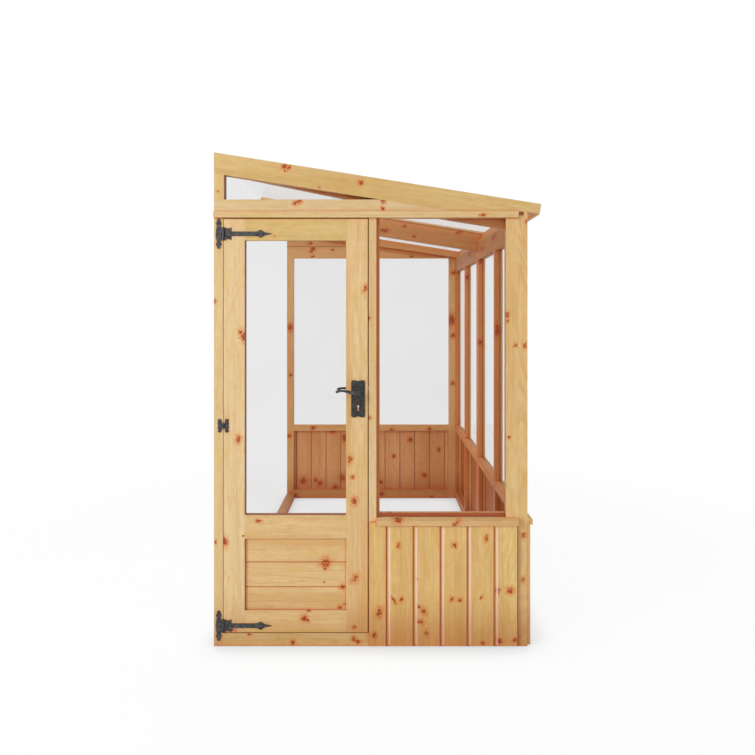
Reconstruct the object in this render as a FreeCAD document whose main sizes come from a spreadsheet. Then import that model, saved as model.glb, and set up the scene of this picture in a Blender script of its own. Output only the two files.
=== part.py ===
import FreeCAD, Part

import math
import os
import re

import Sketcher

os.makedirs("parts", exist_ok=True)
doc = FreeCAD.newDocument("lean_to_greenhouse")

# Driving sizes in millimetres, one alias each. X runs from the house wall to the long glazed wall,
# Y from the door gable to the far gable and Z up from the ground.
sizes = {
    "frame_length": 2430,
    "frame_width": 1270,
    "roof_overhang": 56,
    "gable_height": 1735,
    "head_height": 25,
    "ridge_rise": 240,
    "tip_rise": 31,
    "frame_depth": 38,
    "post_width": 37,
    "stile_width": 49,
    "mullion_width": 44,
    "bottom_rail_height": 53,
    "mid_rail_top": 536,
    "mid_rail_height": 43,
    "glass_thickness": 3,
    "glass_setback": 12,
    "glass_edge": 6,
    "glass_play": 0.2,
    "lip_width": 13,
    "lip_height": 15,
    "head_strip_depth": 14,
    "sill_reach": 21.5,
    "sill_nose_height": 22,
    "sill_drip_place": 3,
    "sill_drip_width": 3,
    "sill_drip_radius": 1.8,
    "nose_rounding": 2,
    "sill_lap": 11,
    "sill_fall": 7,
    "board_thickness": 12,
    "board_pitch": 108.8,
    "board_lap": 8,
    "board_lap_thickness": 5,
    "board_scoop": 16,
    "board_scoop_radius": 20,
    "board_shadow_gap": 4,
    "board_play": 0.5,
    "board_foot_gap": 6,
    "board_end_gap": 3,
    "front_board_start": 38.3,
    "rear_board_start": 23,
    "infill_stile_width": 43,
    "infill_rail_height": 49,
    "end_rafter_height": 85,
    "rear_mullion_offset": 616,
    "rear_head_drop": 6,
    "rear_head_height": 82,
    "rafter_width": 38,
    "rafter_height": 104,
    "pane_bed": 4,
    "packer_start_height": 73,
    "packer_height": 117,
    "packer_taper_length": 953,
    "rear_packer_height": 51,
    "cover_batten_rise": 12,
    "fascia_width": 16,
    "roof_pane_gap": 1.5,
    "wall_stile_width": 44,
    "wall_foot_height": 58,
    "wall_head_height": 90,
    "eaves_plate_thickness": 15,
    "eaves_plate_width": 22,
    "eaves_plate_inset": 11,
    "runner_width": 56,
    "runner_height": 38,
    "door_opening": 590,
    "door_thickness": 28,
    "door_hinge_gap": 2,
    "door_lock_gap": 4,
    "door_top_gap": 3.5,
    "door_foot_gap": 3,
    "door_stile_width": 88,
    "door_top_rail": 88,
    "door_mid_rail": 97,
    "door_mid_rail_top": 532,
    "door_bottom_rail": 89,
    "tenon_length": 45,
    "tenon_thickness": 10,
    "tenon_shoulder": 12,
    "tenon_play": 0.2,
    "panel_thickness": 12,
    "panel_edge": 8,
    "panel_tongue": 5,
    "panel_vee": 3,
    "panel_gap": 0.4,
    "panel_board_count": 3,
    "stop_width": 13,
    "stop_gap": 1,
    "hinge_plate_thickness": 2.5,
    "knuckle_radius": 5,
    "knuckle_lift": 0.2,
    "pin_radius": 2.5,
    "pin_play": 0.05,
    "knuckle_height": 52,
    "knuckle_gap": 0.4,
    "hinge_plate_height": 122,
    "hinge_plate_width": 24,
    "strap_length": 198,
    "strap_height": 18,
    "strap_boss_radius": 15,
    "strap_boss_place": 151,
    "strap_flare": 33,
    "top_hinge_drop": 61.5,
    "bottom_hinge_rise": 27,
    "butterfly_place": 893,
    "butterfly_height": 55,
    "butterfly_wing": 24,
    "butterfly_waist": 20,
    "lever_height": 1029,
    "backset": 39,
    "plate_width": 55,
    "plate_scallop": 4.5,
    "plate_height": 150,
    "plate_drop": 27,
    "plate_thickness": 3.5,
    "keyhole_drop": 57.5,
    "keyhole_radius": 3.2,
    "keyhole_slot": 9,
    "keyhole_slot_width": 3,
    "plate_eye_radius": 5,
    "plate_slot": 20,
    "plate_slot_width": 7,
    "lever_length": 89,
    "lever_reach": 46,
    "lever_neck_radius": 8,
    "lever_boss_radius": 13,
    "lever_boss_depth": 12,
    "lever_root": 13,
    "lever_end": 5.5,
    "lever_tip_rise": 5.3,
    "lever_thickness": 9,
    "lever_play": 0.3,
    "spindle_size": 8,
    "spindle_play": 0.05,
    "spindle_bore": 6.5,
    "spindle_grip": 20,
    "case_depth": 66,
    "case_height": 146,
    "case_thickness": 15,
    "case_wall": 1.5,
    "case_rise": 36,
    "case_play": 0.3,
    "forend_thickness": 2.5,
    "forend_width": 21,
    "forend_overlap": 9,
    "forend_play": 0.1,
    "follower_radius": 10,
    "follower_arm": 15,
    "follower_arm_width": 6,
    "follower_play": 0.7,
    "bolt_play": 0.4,
    "latch_lift": 15,
    "latch_throw": 10,
    "latch_height": 15,
    "latch_thickness": 10,
    "latch_body": 14,
    "latch_tail_height": 3.6,
    "latch_lug": 5,
    "latch_nose": 1.5,
    "latch_shoulder": 1,
    "dead_throw": 14,
    "dead_lift": 13,
    "dead_height": 18,
    "dead_thickness": 8,
    "dead_length": 38,
    "dead_talon": 7,
    "keep_thickness": 2,
    "keep_play": 1.5,
    "keep_margin": 12,
}

sheet = doc.addObject("Spreadsheet::Sheet", "dims")
for row, (alias, size) in enumerate(sizes.items(), start=1):
    sheet.set(f"A{row}", alias.replace("_", " "))
    sheet.set(f"B{row}", str(size))
    sheet.setAlias(f"B{row}", alias)
doc.recompute()

# Planes and lines that several pieces share, written as expressions on the sheet.
roof_width = "(frame_width + roof_overhang)"
left = f"(-{roof_width} / 2)"
right = f"({left} + frame_width)"
wall_inside = f"({right} - frame_depth)"
gable_width = "(frame_width - frame_depth)"
front = "(-frame_length / 2)"
back = "(frame_length / 2)"
front_inside = f"({front} + frame_depth)"
back_inside = f"({back} - frame_depth)"
seat = "(gable_height + head_height)"
ridge_height = f"({seat} + ridge_rise)"
tip_height = f"({seat} + tip_rise)"
rear_head_foot = f"({seat} - rear_head_drop)"
wall_panel_height = f"({seat} - eaves_plate_thickness)"
wall_window_top = f"({wall_panel_height} - wall_head_height)"
slope = f"((ridge_rise - tip_rise) / {roof_width})"
tail = f"(ridge_rise - frame_width * {slope})"
tail_foot = f"({tip_height} - {tail} / (1 + {slope} * {slope}))"
fascia_from = f"({roof_width} - fascia_width)"
ledge = "(mid_rail_top - lip_height)"
mid_rail_foot = "(mid_rail_top - mid_rail_height)"
sill_foot = f"({ledge} - sill_fall - sill_nose_height)"
board_top = f"({sill_foot} + sill_lap)"
glass_near = "(glass_setback - glass_play)"
glass_back = "(glass_setback + glass_thickness)"
glass_far = f"({glass_back} + glass_play)"
groove = "(glass_edge + 1)"
door_left = f"({left} + post_width)"
door_right = f"({door_left} + door_opening)"
mullion_right = f"({door_right} + mullion_width)"
stile_left = f"({wall_inside} - stile_width)"
leaf_left = f"({door_left} + door_hinge_gap)"
leaf_right = f"({door_right} - door_lock_gap)"
leaf_foot = "(bottom_rail_height + door_foot_gap)"
leaf_top = "(gable_height - door_top_gap)"
leaf_back = f"({front} + door_thickness)"
leaf_middle = f"({front} + door_thickness / 2)"
hinge_axis_x = f"({door_left} + door_hinge_gap / 2)"
hinge_axis_y = f"({front} - knuckle_lift - knuckle_radius)"
hinge_root = "(knuckle_radius + knuckle_gap + 1)"
tab_reach = f"({hinge_root} + hinge_plate_width / 4)"
axis_line = (hinge_axis_x, hinge_axis_y)
plate_y = (f"{front} - hinge_plate_thickness", front)
hub_x = f"({leaf_right} - backset)"
latch_centre = "(lever_height + latch_lift)"
keyhole_height = "(lever_height - keyhole_drop)"
dead_centre = f"({keyhole_height} + dead_lift)"

# Where each clad side starts, at its left end seen from outside, and how it is turned.
sides = {
    "front": (left, front, 0),
    "rear": (wall_inside, back, 180),
    "wall": (right, front, 90),
}
clad_from = {
    "front": "post_width + door_opening + board_end_gap",
    "rear": "board_end_gap",
    "wall": "board_end_gap",
}
parts = {}


def bound(expression):
    """The expression with each size named in the sheet."""
    return re.sub(
        r"[a-z]+(_[a-z]+)*",
        lambda word: "dims." + word.group(0) if word.group(0) in sizes else word.group(0),
        str(expression),
    )


def number(expression):
    return float(sheet.evalExpression(bound(expression)))


def bind(item, path, expression):
    item.setExpression(path, bound(expression))


def place(item, x, y, z, turn=0, about=(0, 0, 1)):
    """Puts an object at a point, turned about an axis by whole degrees."""
    rotation = FreeCAD.Rotation(FreeCAD.Vector(*about), turn)
    item.Placement = FreeCAD.Placement(FreeCAD.Vector(0, 0, 0), rotation)
    for axis, expression in zip("xyz", (x, y, z)):
        bind(item, "Placement.Base." + axis, expression)
    return item


def keep(item):
    """Lists a finished piece under its label, which names its file."""
    parts[item.Label] = item
    return item


def block(label, x, y, z):
    """A rectangular piece between two planes on each axis."""
    item = doc.addObject("Part::Box", label)
    bind(item, "Length", f"({x[1]}) - ({x[0]})")
    bind(item, "Width", f"({y[1]}) - ({y[0]})")
    bind(item, "Height", f"({z[1]}) - ({z[0]})")
    return place(item, x[0], y[0], z[0])


def rod(label, radius, length, x, y, z, axis="z"):
    """A round piece along Z or Y, from its centre point at the low end."""
    item = doc.addObject("Part::Cylinder", label)
    bind(item, "Radius", radius)
    bind(item, "Height", length)
    return place(item, x, y, z, -90 if axis == "y" else 0, (1, 0, 0))


def joined(label, members):
    item = doc.addObject("Part::MultiFuse", label)
    item.Shapes = members
    item.Refine = True
    return item


def together(label, members):
    """Separate solids of one kind that share a node."""
    item = doc.addObject("Part::Compound", label)
    item.Links = members
    return item


def less(label, base, tools):
    """A piece with mortises, grooves or holes taken out of it."""
    item = doc.addObject("Part::Cut", label)
    item.Base = base
    item.Tool = tools[0] if len(tools) == 1 else joined(label + "_cutters", tools)
    return item


def pin_point(sketch, edge, end, x, y):
    """Ties one end of a sketch edge to its two distances from the sketch's origin."""
    for kind, axis, expression in (("DistanceX", -2, x), ("DistanceY", -1, y)):
        if expression == "0":
            sketch.addConstraint(Sketcher.Constraint("PointOnObject", edge, end, axis))
            continue
        distance = Sketcher.Constraint(kind, -1, 1, edge, end, number(expression))
        index = sketch.addConstraint(distance)
        bind(sketch, f"Constraints[{index}]", expression)


def arc_between(start, stop, radius, side):
    """The lesser arc between two points."""
    chord = stop - start
    across = FreeCAD.Vector(-chord.y, chord.x, 0).normalize() * side
    rise = math.sqrt(max(radius**2 - (chord.Length / 2) ** 2, 0))
    centre = (start + stop) * 0.5 - across * rise
    first, last = (stop, start) if side > 0 else (start, stop)
    angles = [math.atan2(p.y - centre.y, p.x - centre.x) for p in (first, last)]
    circle = Part.Circle(centre, FreeCAD.Vector(0, 0, 1), radius)
    return Part.ArcOfCircle(circle, *angles)


def outline(sketch, corners):
    """A closed outline. A corner is (x, y), or (x, y, radius, side) where an arc runs to the next
    corner: side 1 bulges to the left of the way of travel and -1 to the right."""
    points = [FreeCAD.Vector(number(c[0]), number(c[1]), 0) for c in corners]
    ends = []
    for i, corner in enumerate(corners):
        start, stop = points[i], points[(i + 1) % len(points)]
        if len(corner) == 2:
            ends.append((sketch.addGeometry(Part.LineSegment(start, stop)), 1, 2))
            continue
        side = corner[3]
        edge = sketch.addGeometry(arc_between(start, stop, number(corner[2]), side))
        ends.append((edge, 2, 1) if side > 0 else (edge, 1, 2))
        index = sketch.addConstraint(Sketcher.Constraint("Radius", edge, number(corner[2])))
        bind(sketch, f"Constraints[{index}]", corner[2])
    for i, (edge, _, end) in enumerate(ends):
        other, start, _ = ends[(i + 1) % len(ends)]
        sketch.addConstraint(Sketcher.Constraint("Coincident", edge, end, other, start))
    for corner, (edge, start, _) in zip(corners, ends):
        pin_point(sketch, edge, start, corner[0], corner[1])


def ring(sketch, x, y, radius):
    centre = FreeCAD.Vector(number(x), number(y), 0)
    edge = sketch.addGeometry(Part.Circle(centre, FreeCAD.Vector(0, 0, 1), number(radius)))
    pin_point(sketch, edge, 3, x, y)
    index = sketch.addConstraint(Sketcher.Constraint("Radius", edge, number(radius)))
    bind(sketch, f"Constraints[{index}]", radius)


def profile(label, plane, corners, length, at=("0", "0", "0"), turn=0, holes=()):
    """A body padded from one outline: XY pads up, YZ along its own X and XZ along its own Y."""
    body = doc.addObject("PartDesign::Body", label)
    sketch = body.newObject("Sketcher::SketchObject", label + "_sketch")
    origin = next(f for f in body.Origin.OriginFeatures if f.Role == plane + "_Plane")
    sketch.AttachmentSupport = [(origin, "")]
    sketch.MapMode = "FlatFace"
    outline(sketch, corners)
    for hole in holes:
        ring(sketch, *hole)
    pad = body.newObject("PartDesign::Pad", label + "_pad")
    pad.Profile = sketch
    pad.Reversed = plane == "XZ"
    bind(pad, "Length", length)
    return place(body, *at, turn)


def mirrored(half, axis=0):
    """Half an outline, from a point on the mirror line, closed by its mirror image."""

    def flip(corner):
        point = list(corner[:2])
        point[axis] = f"-({point[axis]})"
        return point

    out = list(half)
    last = len(half) - 1
    if half[-1][axis] == "0":
        out[-1] = (*half[-1][:2], *half[-2][2:])
        last -= 1
    for i in range(last, 0, -1):
        out.append((*flip(half[i]), *half[i - 1][2:]))
    return out


def along(side, u):
    """The point on a side's outer face, a distance along it."""
    x, y, turn = sides[side]
    if turn == 90:
        return x, f"{y} + ({u})"
    return (f"{x} - ({u})", y) if turn else (f"{x} + ({u})", y)


def upright(label, side, u, width, foot, top, grooves=""):
    """A post, stile or mullion on a side, with glazing grooves in the edges named L and R."""
    corners = [("0", "0"), (width, "0")]
    if "R" in grooves:
        deep = f"{width} - {groove}"
        corners += [(width, glass_near), (deep, glass_near), (deep, glass_far), (width, glass_far)]
    corners += [(width, "frame_depth"), ("0", "frame_depth")]
    if "L" in grooves:
        corners += [("0", glass_far), (groove, glass_far), (groove, glass_near), ("0", glass_near)]
    at = (*along(side, u), foot)
    return profile(label, "XY", corners, f"({top}) - ({foot})", at, sides[side][2])


def level(label, side, corners, u, length, foot):
    """A rail, sill or strip on a side, with its section seen from its left end."""
    return profile(label, "YZ", corners, length, (*along(side, u), foot), sides[side][2])


def rail_section(height):
    return [("0", "0"), ("frame_depth", "0"), ("frame_depth", height), ("0", height)]


def top_rail_section(height):
    """A rail over a window, grooved underneath for the pane."""
    return [
        ("0", "0"),
        (glass_near, "0"),
        (glass_near, groove),
        (glass_far, groove),
        (glass_far, "0"),
        ("frame_depth", "0"),
        ("frame_depth", height),
        ("0", height),
    ]


# A rail under a window: the pane stands on its ledge, in front of its lip.
mid_rail_section = [
    ("0", "0"),
    ("frame_depth", "0"),
    ("frame_depth", "mid_rail_height"),
    (glass_far, "mid_rail_height"),
    (glass_far, "mid_rail_height - lip_height"),
    ("0", "mid_rail_height - lip_height"),
]

# A weathered sill with a rebate over the boards' heads and a drip groove under its nose.
sill_section = [
    ("-sill_reach", "0"),
    ("-sill_reach + sill_drip_place", "0", "sill_drip_radius", 1),
    ("-sill_reach + sill_drip_place + sill_drip_width", "0"),
    ("-board_thickness", "0"),
    ("-board_thickness", "sill_lap"),
    ("0", "sill_lap"),
    ("0", "sill_nose_height + sill_fall"),
    ("-sill_reach + nose_rounding", "sill_nose_height", "nose_rounding", -1),
    ("-sill_reach", "sill_nose_height - nose_rounding"),
]


def cladding(label, side, start, run, x, y):
    """Vertical shiplap boards with scooped edges, cut to the panel that they cover."""
    lap_end = "board_pitch - board_shadow_gap"
    shoulder = "board_pitch - board_lap - board_play"
    tongue = "-board_lap_thickness"
    section = [
        ("-board_lap", "0"),
        (shoulder, "0"),
        (shoulder, f"{tongue} - board_play"),
        (lap_end, f"{tongue} - board_play"),
        (lap_end, "-board_thickness"),
        ("board_scoop", "-board_thickness", "board_scoop_radius", -1),
        ("0", tongue),
        ("-board_lap", tongue),
    ]
    count = f"ceil(({run} + {start}) / board_pitch)"
    at = (*along(side, f"{clad_from[side]} - {start}"), "board_foot_gap")
    height = f"{board_top} - board_foot_gap"
    boards = profile(label + "_run", "XY", section, height, at, sides[side][2])
    boards.AllowCompound = True
    pad = boards.Tip
    pattern = boards.newObject("PartDesign::LinearPattern", label + "_pattern")
    pattern.Originals = [pad]
    pattern.Direction = (pad.Profile[0], ["H_Axis"])
    bind(pattern, "Occurrences", count)
    bind(pattern, "Length", f"({count} - 1) * board_pitch")
    boards.Tip = pattern
    item = doc.addObject("Part::Common", label)
    item.Base = boards
    item.Tool = block(label + "_panel", x, y, ("board_foot_gap", board_top))
    return keep(item)


# Door gable: post, rails, right stile, window, sill and boards.
def front_gable():
    keep(upright("front_left_post", "front", "0", "post_width", "0", "gable_height"))
    stile_u = f"{gable_width} - stile_width"
    keep(upright("front_right_stile", "front", stile_u, "stile_width", "0", "gable_height", "L"))
    span = f"{stile_left} - {door_left}"
    section = rail_section("bottom_rail_height")
    keep(level("front_bottom_rail", "front", section, "post_width", span, "0"))
    section = rail_section("head_height")
    head = level("front_head_blank", "front", section, "0", gable_width, "gable_height")
    head_groove = block(
        "front_head_groove",
        (f"{mullion_right} - lip_width", f"{stile_left} + {groove}"),
        (f"{front} + {glass_near}", f"{front} + {glass_far}"),
        ("gable_height", f"gable_height + {groove}"),
    )
    keep(less("front_head_rail", head, [head_groove]))
    strip = [
        ("-head_strip_depth", "0"),
        ("0", "0"),
        ("0", "head_height"),
        ("-head_strip_depth + nose_rounding", "head_height", "nose_rounding", -1),
        ("-head_strip_depth", "head_height - nose_rounding"),
    ]
    keep(level("front_head_strip", "front", strip, "0", gable_width, "gable_height"))
    mid_u = "post_width + door_opening + mullion_width"
    mid_length = f"{stile_left} - {mullion_right}"
    keep(level("front_mid_rail", "front", mid_rail_section, mid_u, mid_length, mid_rail_foot))
    sill_length = f"{wall_inside} - {mullion_right} + lip_width"
    keep(level("front_sill", "front", sill_section, f"{mid_u} - lip_width", sill_length, sill_foot))
    keep(
        block(
            "front_window_pane",
            (f"{mullion_right} - lip_width + glass_play", f"{stile_left} + glass_edge"),
            (f"{front} + glass_setback", f"{front} + {glass_back}"),
            (ledge, "gable_height + glass_edge"),
        )
    )
    x = (f"{door_right} + board_end_gap", f"{wall_inside} - board_end_gap")
    y = (f"{front} - board_thickness", front)
    cladding("front_cladding", "front", "front_board_start", f"({x[1]} - ({x[0]}))", x, y)


bolts = {
    "latch": ("latch_thickness", "latch_height", latch_centre),
    "dead": ("dead_thickness", "dead_height", dead_centre),
}
keep_outline = (
    (f"{leaf_middle} - forend_width / 2", f"{leaf_middle} + forend_width / 2"),
    (
        f"{dead_centre} - dead_height / 2 - keep_margin",
        f"{latch_centre} + latch_height / 2 + keep_margin",
    ),
)


def bolt_boxes(label, x, play):
    """One box per bolt, larger than the bolt by a play all round."""
    return [
        block(
            f"{label}_{name}",
            x,
            (f"{leaf_middle} - {thick} / 2 - {play}", f"{leaf_middle} + {thick} / 2 + {play}"),
            (f"{centre} - {high} / 2 - {play}", f"{centre} + {high} / 2 + {play}"),
        )
        for name, (thick, high, centre) in bolts.items()
    ]


# The mullion is rebated for the pane and mortised for both bolts behind its keep plate.
def front_mullion():
    section = [
        ("0", "0"),
        ("mullion_width - lip_width", "0"),
        ("mullion_width - lip_width", glass_far),
        ("mullion_width", glass_far),
        ("mullion_width", "frame_depth"),
        ("0", "frame_depth"),
    ]
    height = "gable_height - bottom_rail_height"
    at = (door_right, front, "bottom_rail_height")
    blank = profile("front_mullion_blank", "XY", section, height, at)
    depth = "keep_thickness + dead_throw + keep_play"
    mortises = bolt_boxes("mullion_mortise", (door_right, f"{door_right} + {depth}"), "keep_play")
    recess = block("keep_recess", (door_right, f"{door_right} + keep_thickness"), *keep_outline)
    keep(less("front_mullion", blank, [*mortises, recess]))
    plate = block("keep_blank", (door_right, f"{door_right} + keep_thickness"), *keep_outline)
    through = (f"{door_right} - 1", f"{door_right} + keep_thickness + 1")
    keep(less("keep_plate", plate, bolt_boxes("keep_window", through, "keep_play")))


def door_stops():
    y = (f"{leaf_back} + stop_gap", front_inside)
    z = ("bottom_rail_height", "gable_height")
    x = (f"{door_left} + stop_width", f"{door_right} - stop_width")
    strips = [
        block("stop_left", (door_left, x[0]), y, z),
        block("stop_right", (x[1], door_right), y, z),
        block("stop_top", x, y, ("gable_height - stop_width", "gable_height")),
    ]
    keep(together("door_stops", strips))


# Far gable: two panes over shiplap, a tapered head rail and a boarded triangle above it.
def rear_gable():
    far_u = f"{gable_width} - stile_width"
    top = rear_head_foot
    foot = "wall_foot_height"
    keep(upright("rear_right_stile", "rear", "0", "stile_width", "0", top, "R"))
    keep(upright("rear_left_stile", "rear", far_u, "stile_width", "0", top, "L"))
    mullion_u = "rear_mullion_offset - mullion_width / 2"
    keep(upright("rear_mullion", "rear", mullion_u, "mullion_width", foot, top, "LR"))
    span = f"{gable_width} - 2 * stile_width"
    keep(level("rear_bottom_rail", "rear", rail_section(foot), "stile_width", span, "0"))
    rails = []
    panes = []
    bays = [("stile_width", mullion_u), (f"{mullion_u} + mullion_width", far_u)]
    for i, (start, stop) in enumerate(bays):
        length = f"({stop}) - ({start})"
        label = f"rear_mid_rail_{i}"
        rails.append(level(label, "rear", mid_rail_section, start, length, mid_rail_foot))
        x = (f"{wall_inside} - ({stop}) - glass_edge", f"{wall_inside} - ({start}) + glass_edge")
        y = (f"{back} - {glass_back}", f"{back} - glass_setback")
        panes.append(block(f"rear_pane_{i}", x, y, (ledge, f"{top} + glass_edge")))
    keep(together("rear_mid_rails", rails))
    keep(together("rear_window_panes", panes))
    keep(level("rear_sill", "rear", sill_section, "0", gable_width, sill_foot))
    x = (f"{left} + board_end_gap", f"{wall_inside} - board_end_gap")
    y = (back, f"{back} + board_thickness")
    cladding("rear_cladding", "rear", "rear_board_start", f"({x[1]} - ({x[0]}))", x, y)


def roof_top(x, drop="0"):
    """Height of the roof line at a distance from the house wall, less a drop."""
    return f"({ridge_height} - ({x}) * {slope} - ({drop}))"


def rafter_foot(x):
    """Height of an end rafter's underside, before its level seat."""
    return roof_top(x, "end_rafter_height")


def rafter_reaches(height):
    """Distance from the house wall at which an end rafter's underside comes down to a height."""
    return f"(({ridge_height} - end_rafter_height - ({height})) / {slope})"


def roof_piece(label, corners, y, thickness):
    """A piece drawn on the roof's end view, with distances from the house wall and heights."""
    return profile(label, "XZ", corners, thickness, (left, y, "0"))


def rear_triangle():
    head_top = f"({rear_head_foot} + rear_head_height)"
    head = [
        ("0", rear_head_foot),
        (gable_width, rear_head_foot),
        (gable_width, seat),
        (rafter_reaches(seat), seat),
        (rafter_reaches(head_top), head_top),
        ("0", head_top),
    ]
    blank = roof_piece("rear_head_blank", head, back_inside, "frame_depth")
    slot = block(
        "rear_head_groove",
        (f"{left} + stile_width - {groove}", f"{wall_inside} - stile_width + {groove}"),
        (f"{back} - {glass_far}", f"{back} - {glass_near}"),
        (rear_head_foot, f"{rear_head_foot} + {groove}"),
    )
    keep(less("rear_head_rail", blank, [slot]))
    shoulder = rafter_foot("infill_stile_width")
    stile = [
        ("0", head_top),
        ("infill_stile_width", head_top),
        ("infill_stile_width", shoulder),
        ("0", rafter_foot("0")),
    ]
    board = [
        ("infill_stile_width", head_top),
        (rafter_reaches(head_top), head_top),
        ("infill_stile_width", shoulder),
    ]
    pieces = [
        roof_piece("rear_infill_stile", stile, back_inside, "frame_depth"),
        roof_piece("rear_infill_board", board, back_inside, "frame_depth"),
    ]
    keep(together("rear_infill_boards", pieces))


# Long glazed wall: two panels side by side, each with two bays.
def long_wall():
    half = "(frame_length / 2)"
    width = "wall_stile_width"
    bay = f"(({half} - 3 * {width}) / 2)"
    top = wall_panel_height
    uprights = []
    rails = {"bottom": [], "mid": [], "top": []}
    panes = []
    for i in (0, 1):
        start = f"{half} * {i}"
        far = f"{start} + {half} - {width}"
        tops = (seat, top) if i == 0 else (top, seat)
        stiles = [
            upright(f"wall_near_stile_{i}", "wall", start, width, "0", tops[0], "R"),
            upright(f"wall_far_stile_{i}", "wall", far, width, "0", tops[1], "L"),
        ]
        horn = start if i == 0 else far
        notch = block(
            f"wall_stile_notch_{i}",
            (wall_inside, f"{wall_inside} + eaves_plate_width"),
            (f"{front} + {horn}", f"{front} + {horn} + {width}"),
            (top, seat),
        )
        stiles[i] = less(f"wall_end_stile_{i}", stiles[i], [notch])
        stud_u = f"{start} + {width} + {bay}"
        foot, head = "wall_foot_height", wall_window_top
        stud = upright(f"wall_stud_{i}", "wall", stud_u, width, foot, head, "LR")
        uprights += [*stiles, stud]
        inner = f"{half} - 2 * {width}"
        rail_u = f"{start} + {width}"
        section = rail_section(foot)
        rails["bottom"].append(level(f"wall_foot_{i}", "wall", section, rail_u, inner, "0"))
        section = top_rail_section(f"{top} - {head}")
        rails["top"].append(level(f"wall_head_{i}", "wall", section, rail_u, inner, head))
        for j in (0, 1):
            bay_u = f"{start} + {width} + ({bay} + {width}) * {j}"
            label = f"wall_mid_rail_{i}{j}"
            rails["mid"].append(level(label, "wall", mid_rail_section, bay_u, bay, mid_rail_foot))
            x = (f"{right} - {glass_back}", f"{right} - glass_setback")
            y = (f"{front} + {bay_u} - glass_edge", f"{front} + {bay_u} + {bay} + glass_edge")
            panes.append(block(f"wall_pane_{i}{j}", x, y, (ledge, f"{head} + glass_edge")))
    keep(together("wall_stiles_and_studs", uprights))
    for name, members in rails.items():
        keep(together(f"wall_{name}_rails", members))
    keep(together("wall_panes", panes))
    keep(level("wall_sill", "wall", sill_section, "0", "frame_length", sill_foot))
    x = (right, f"{right} + board_thickness")
    y = (f"{front} + board_end_gap", f"{back} - board_end_gap")
    spare = "(ceil(frame_length / board_pitch) * board_pitch - frame_length)"
    start = f"({spare} / 2 + board_end_gap)"
    cladding("wall_cladding", "wall", start, f"({y[1]} - ({y[0]}))", x, y)


# Eaves: plates on the wall head, closers between the rafters and a fascia across their tails.
def eaves():
    split = f"{wall_inside} + eaves_plate_width"
    z = (wall_panel_height, seat)
    inner_y = (f"{front} + eaves_plate_inset", f"{back} - eaves_plate_inset")
    outer_y = (f"{front} + wall_stile_width", f"{back} - wall_stile_width")
    plates = [
        block("eaves_inner_plate", (wall_inside, split), inner_y, z),
        block("eaves_outer_plate", (split, right), outer_y, z),
    ]
    keep(together("eaves_plates", plates))
    start = f"({gable_width} + eaves_plate_width)"
    closer = [
        (start, seat),
        ("frame_width", seat),
        ("frame_width", roof_top("frame_width", "pane_bed")),
        (start, roof_top(start, "pane_bed")),
    ]
    length = "(frame_length / 2 - frame_depth - 1.5 * rafter_width)"
    closers = [
        roof_piece("eaves_closer_near", closer, f"{front_inside} + rafter_width", length),
        roof_piece("eaves_closer_far", closer, "rafter_width / 2", length),
    ]
    keep(together("eaves_closers", closers))
    fascia = [
        (fascia_from, tail_foot),
        (roof_width, tail_foot),
        (roof_width, roof_top(roof_width, "pane_bed")),
        (fascia_from, roof_top(fascia_from, "pane_bed")),
    ]
    keep(roof_piece("eaves_fascia", fascia, front_inside, "frame_length - 2 * frame_depth"))


# End rafters: one deep board with a square-cut tail, cut level where it sits on the wall.
def end_rafter(label, y):
    corners = [
        ("0", rafter_foot("0")),
        (rafter_reaches(seat), seat),
        ("frame_width", seat),
        (f"{roof_width} - {tail} * {slope} / (1 + {slope} * {slope})", tail_foot),
        (roof_width, tip_height),
        ("0", ridge_height),
    ]
    return roof_piece(label, corners, y, "frame_depth")


# Rafters under the panes, notched over the wall head. A taper is where one reaches full height.
def rafter(label, y, root, full, taper=None):
    bend = [(taper, roof_top(taper, full))] if taper else []
    corners = [
        ("0", roof_top("0", root)),
        *bend,
        (gable_width, roof_top(gable_width, full)),
        (gable_width, seat),
        ("frame_width", seat),
        (fascia_from, roof_top(fascia_from, tail)),
        (fascia_from, roof_top(fascia_from, "pane_bed")),
        ("0", roof_top("0", "pane_bed")),
    ]
    keep(roof_piece(label, corners, y, "rafter_width"))


def slab(top, bottom):
    """A strip down the whole slope, between two drops below the roof line."""
    return [
        ("0", roof_top("0", bottom)),
        (roof_width, roof_top(roof_width, bottom)),
        (roof_width, roof_top(roof_width, top)),
        ("0", roof_top("0", top)),
    ]


def roof():
    keep(end_rafter("rear_end_rafter", back_inside))
    packer = ("packer_start_height", "packer_height", "packer_taper_length")
    rafter("front_rafter_packer", front_inside, *packer)
    low_packer = ("packer_start_height", "rear_packer_height", "packer_taper_length")
    rafter("rear_rafter_packer", f"{back_inside} - rafter_width", *low_packer)
    rafter("middle_rafter", "-rafter_width / 2", "rafter_height", "rafter_height")
    pane_top = "pane_bed - glass_thickness"
    pane = slab(pane_top, "pane_bed")
    length = "frame_length / 2 - frame_depth - 2 * roof_pane_gap"
    panes = [
        roof_piece("roof_pane_near", pane, f"{front_inside} + roof_pane_gap", length),
        roof_piece("roof_pane_far", pane, "roof_pane_gap", length),
    ]
    keep(together("roof_panes", panes))
    batten = slab("-cover_batten_rise", pane_top)
    keep(roof_piece("roof_cover_batten", batten, "-rafter_width / 2", "rafter_width"))


def infill_outline(edge):
    """The front triangle's opening, with an edge let into the pieces round it."""
    rail_top = f"({seat} + infill_rail_height - ({edge}))"
    start = f"infill_stile_width - ({edge})"
    rise = f"({edge}) * sqrt(1 + {slope} * {slope})"
    reach = f"(({ridge_height} - end_rafter_height + {rise} - {rail_top}) / {slope})"
    return [(start, rail_top), (reach, rail_top), (start, f"{rafter_foot(start)} + {rise}")]


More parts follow.
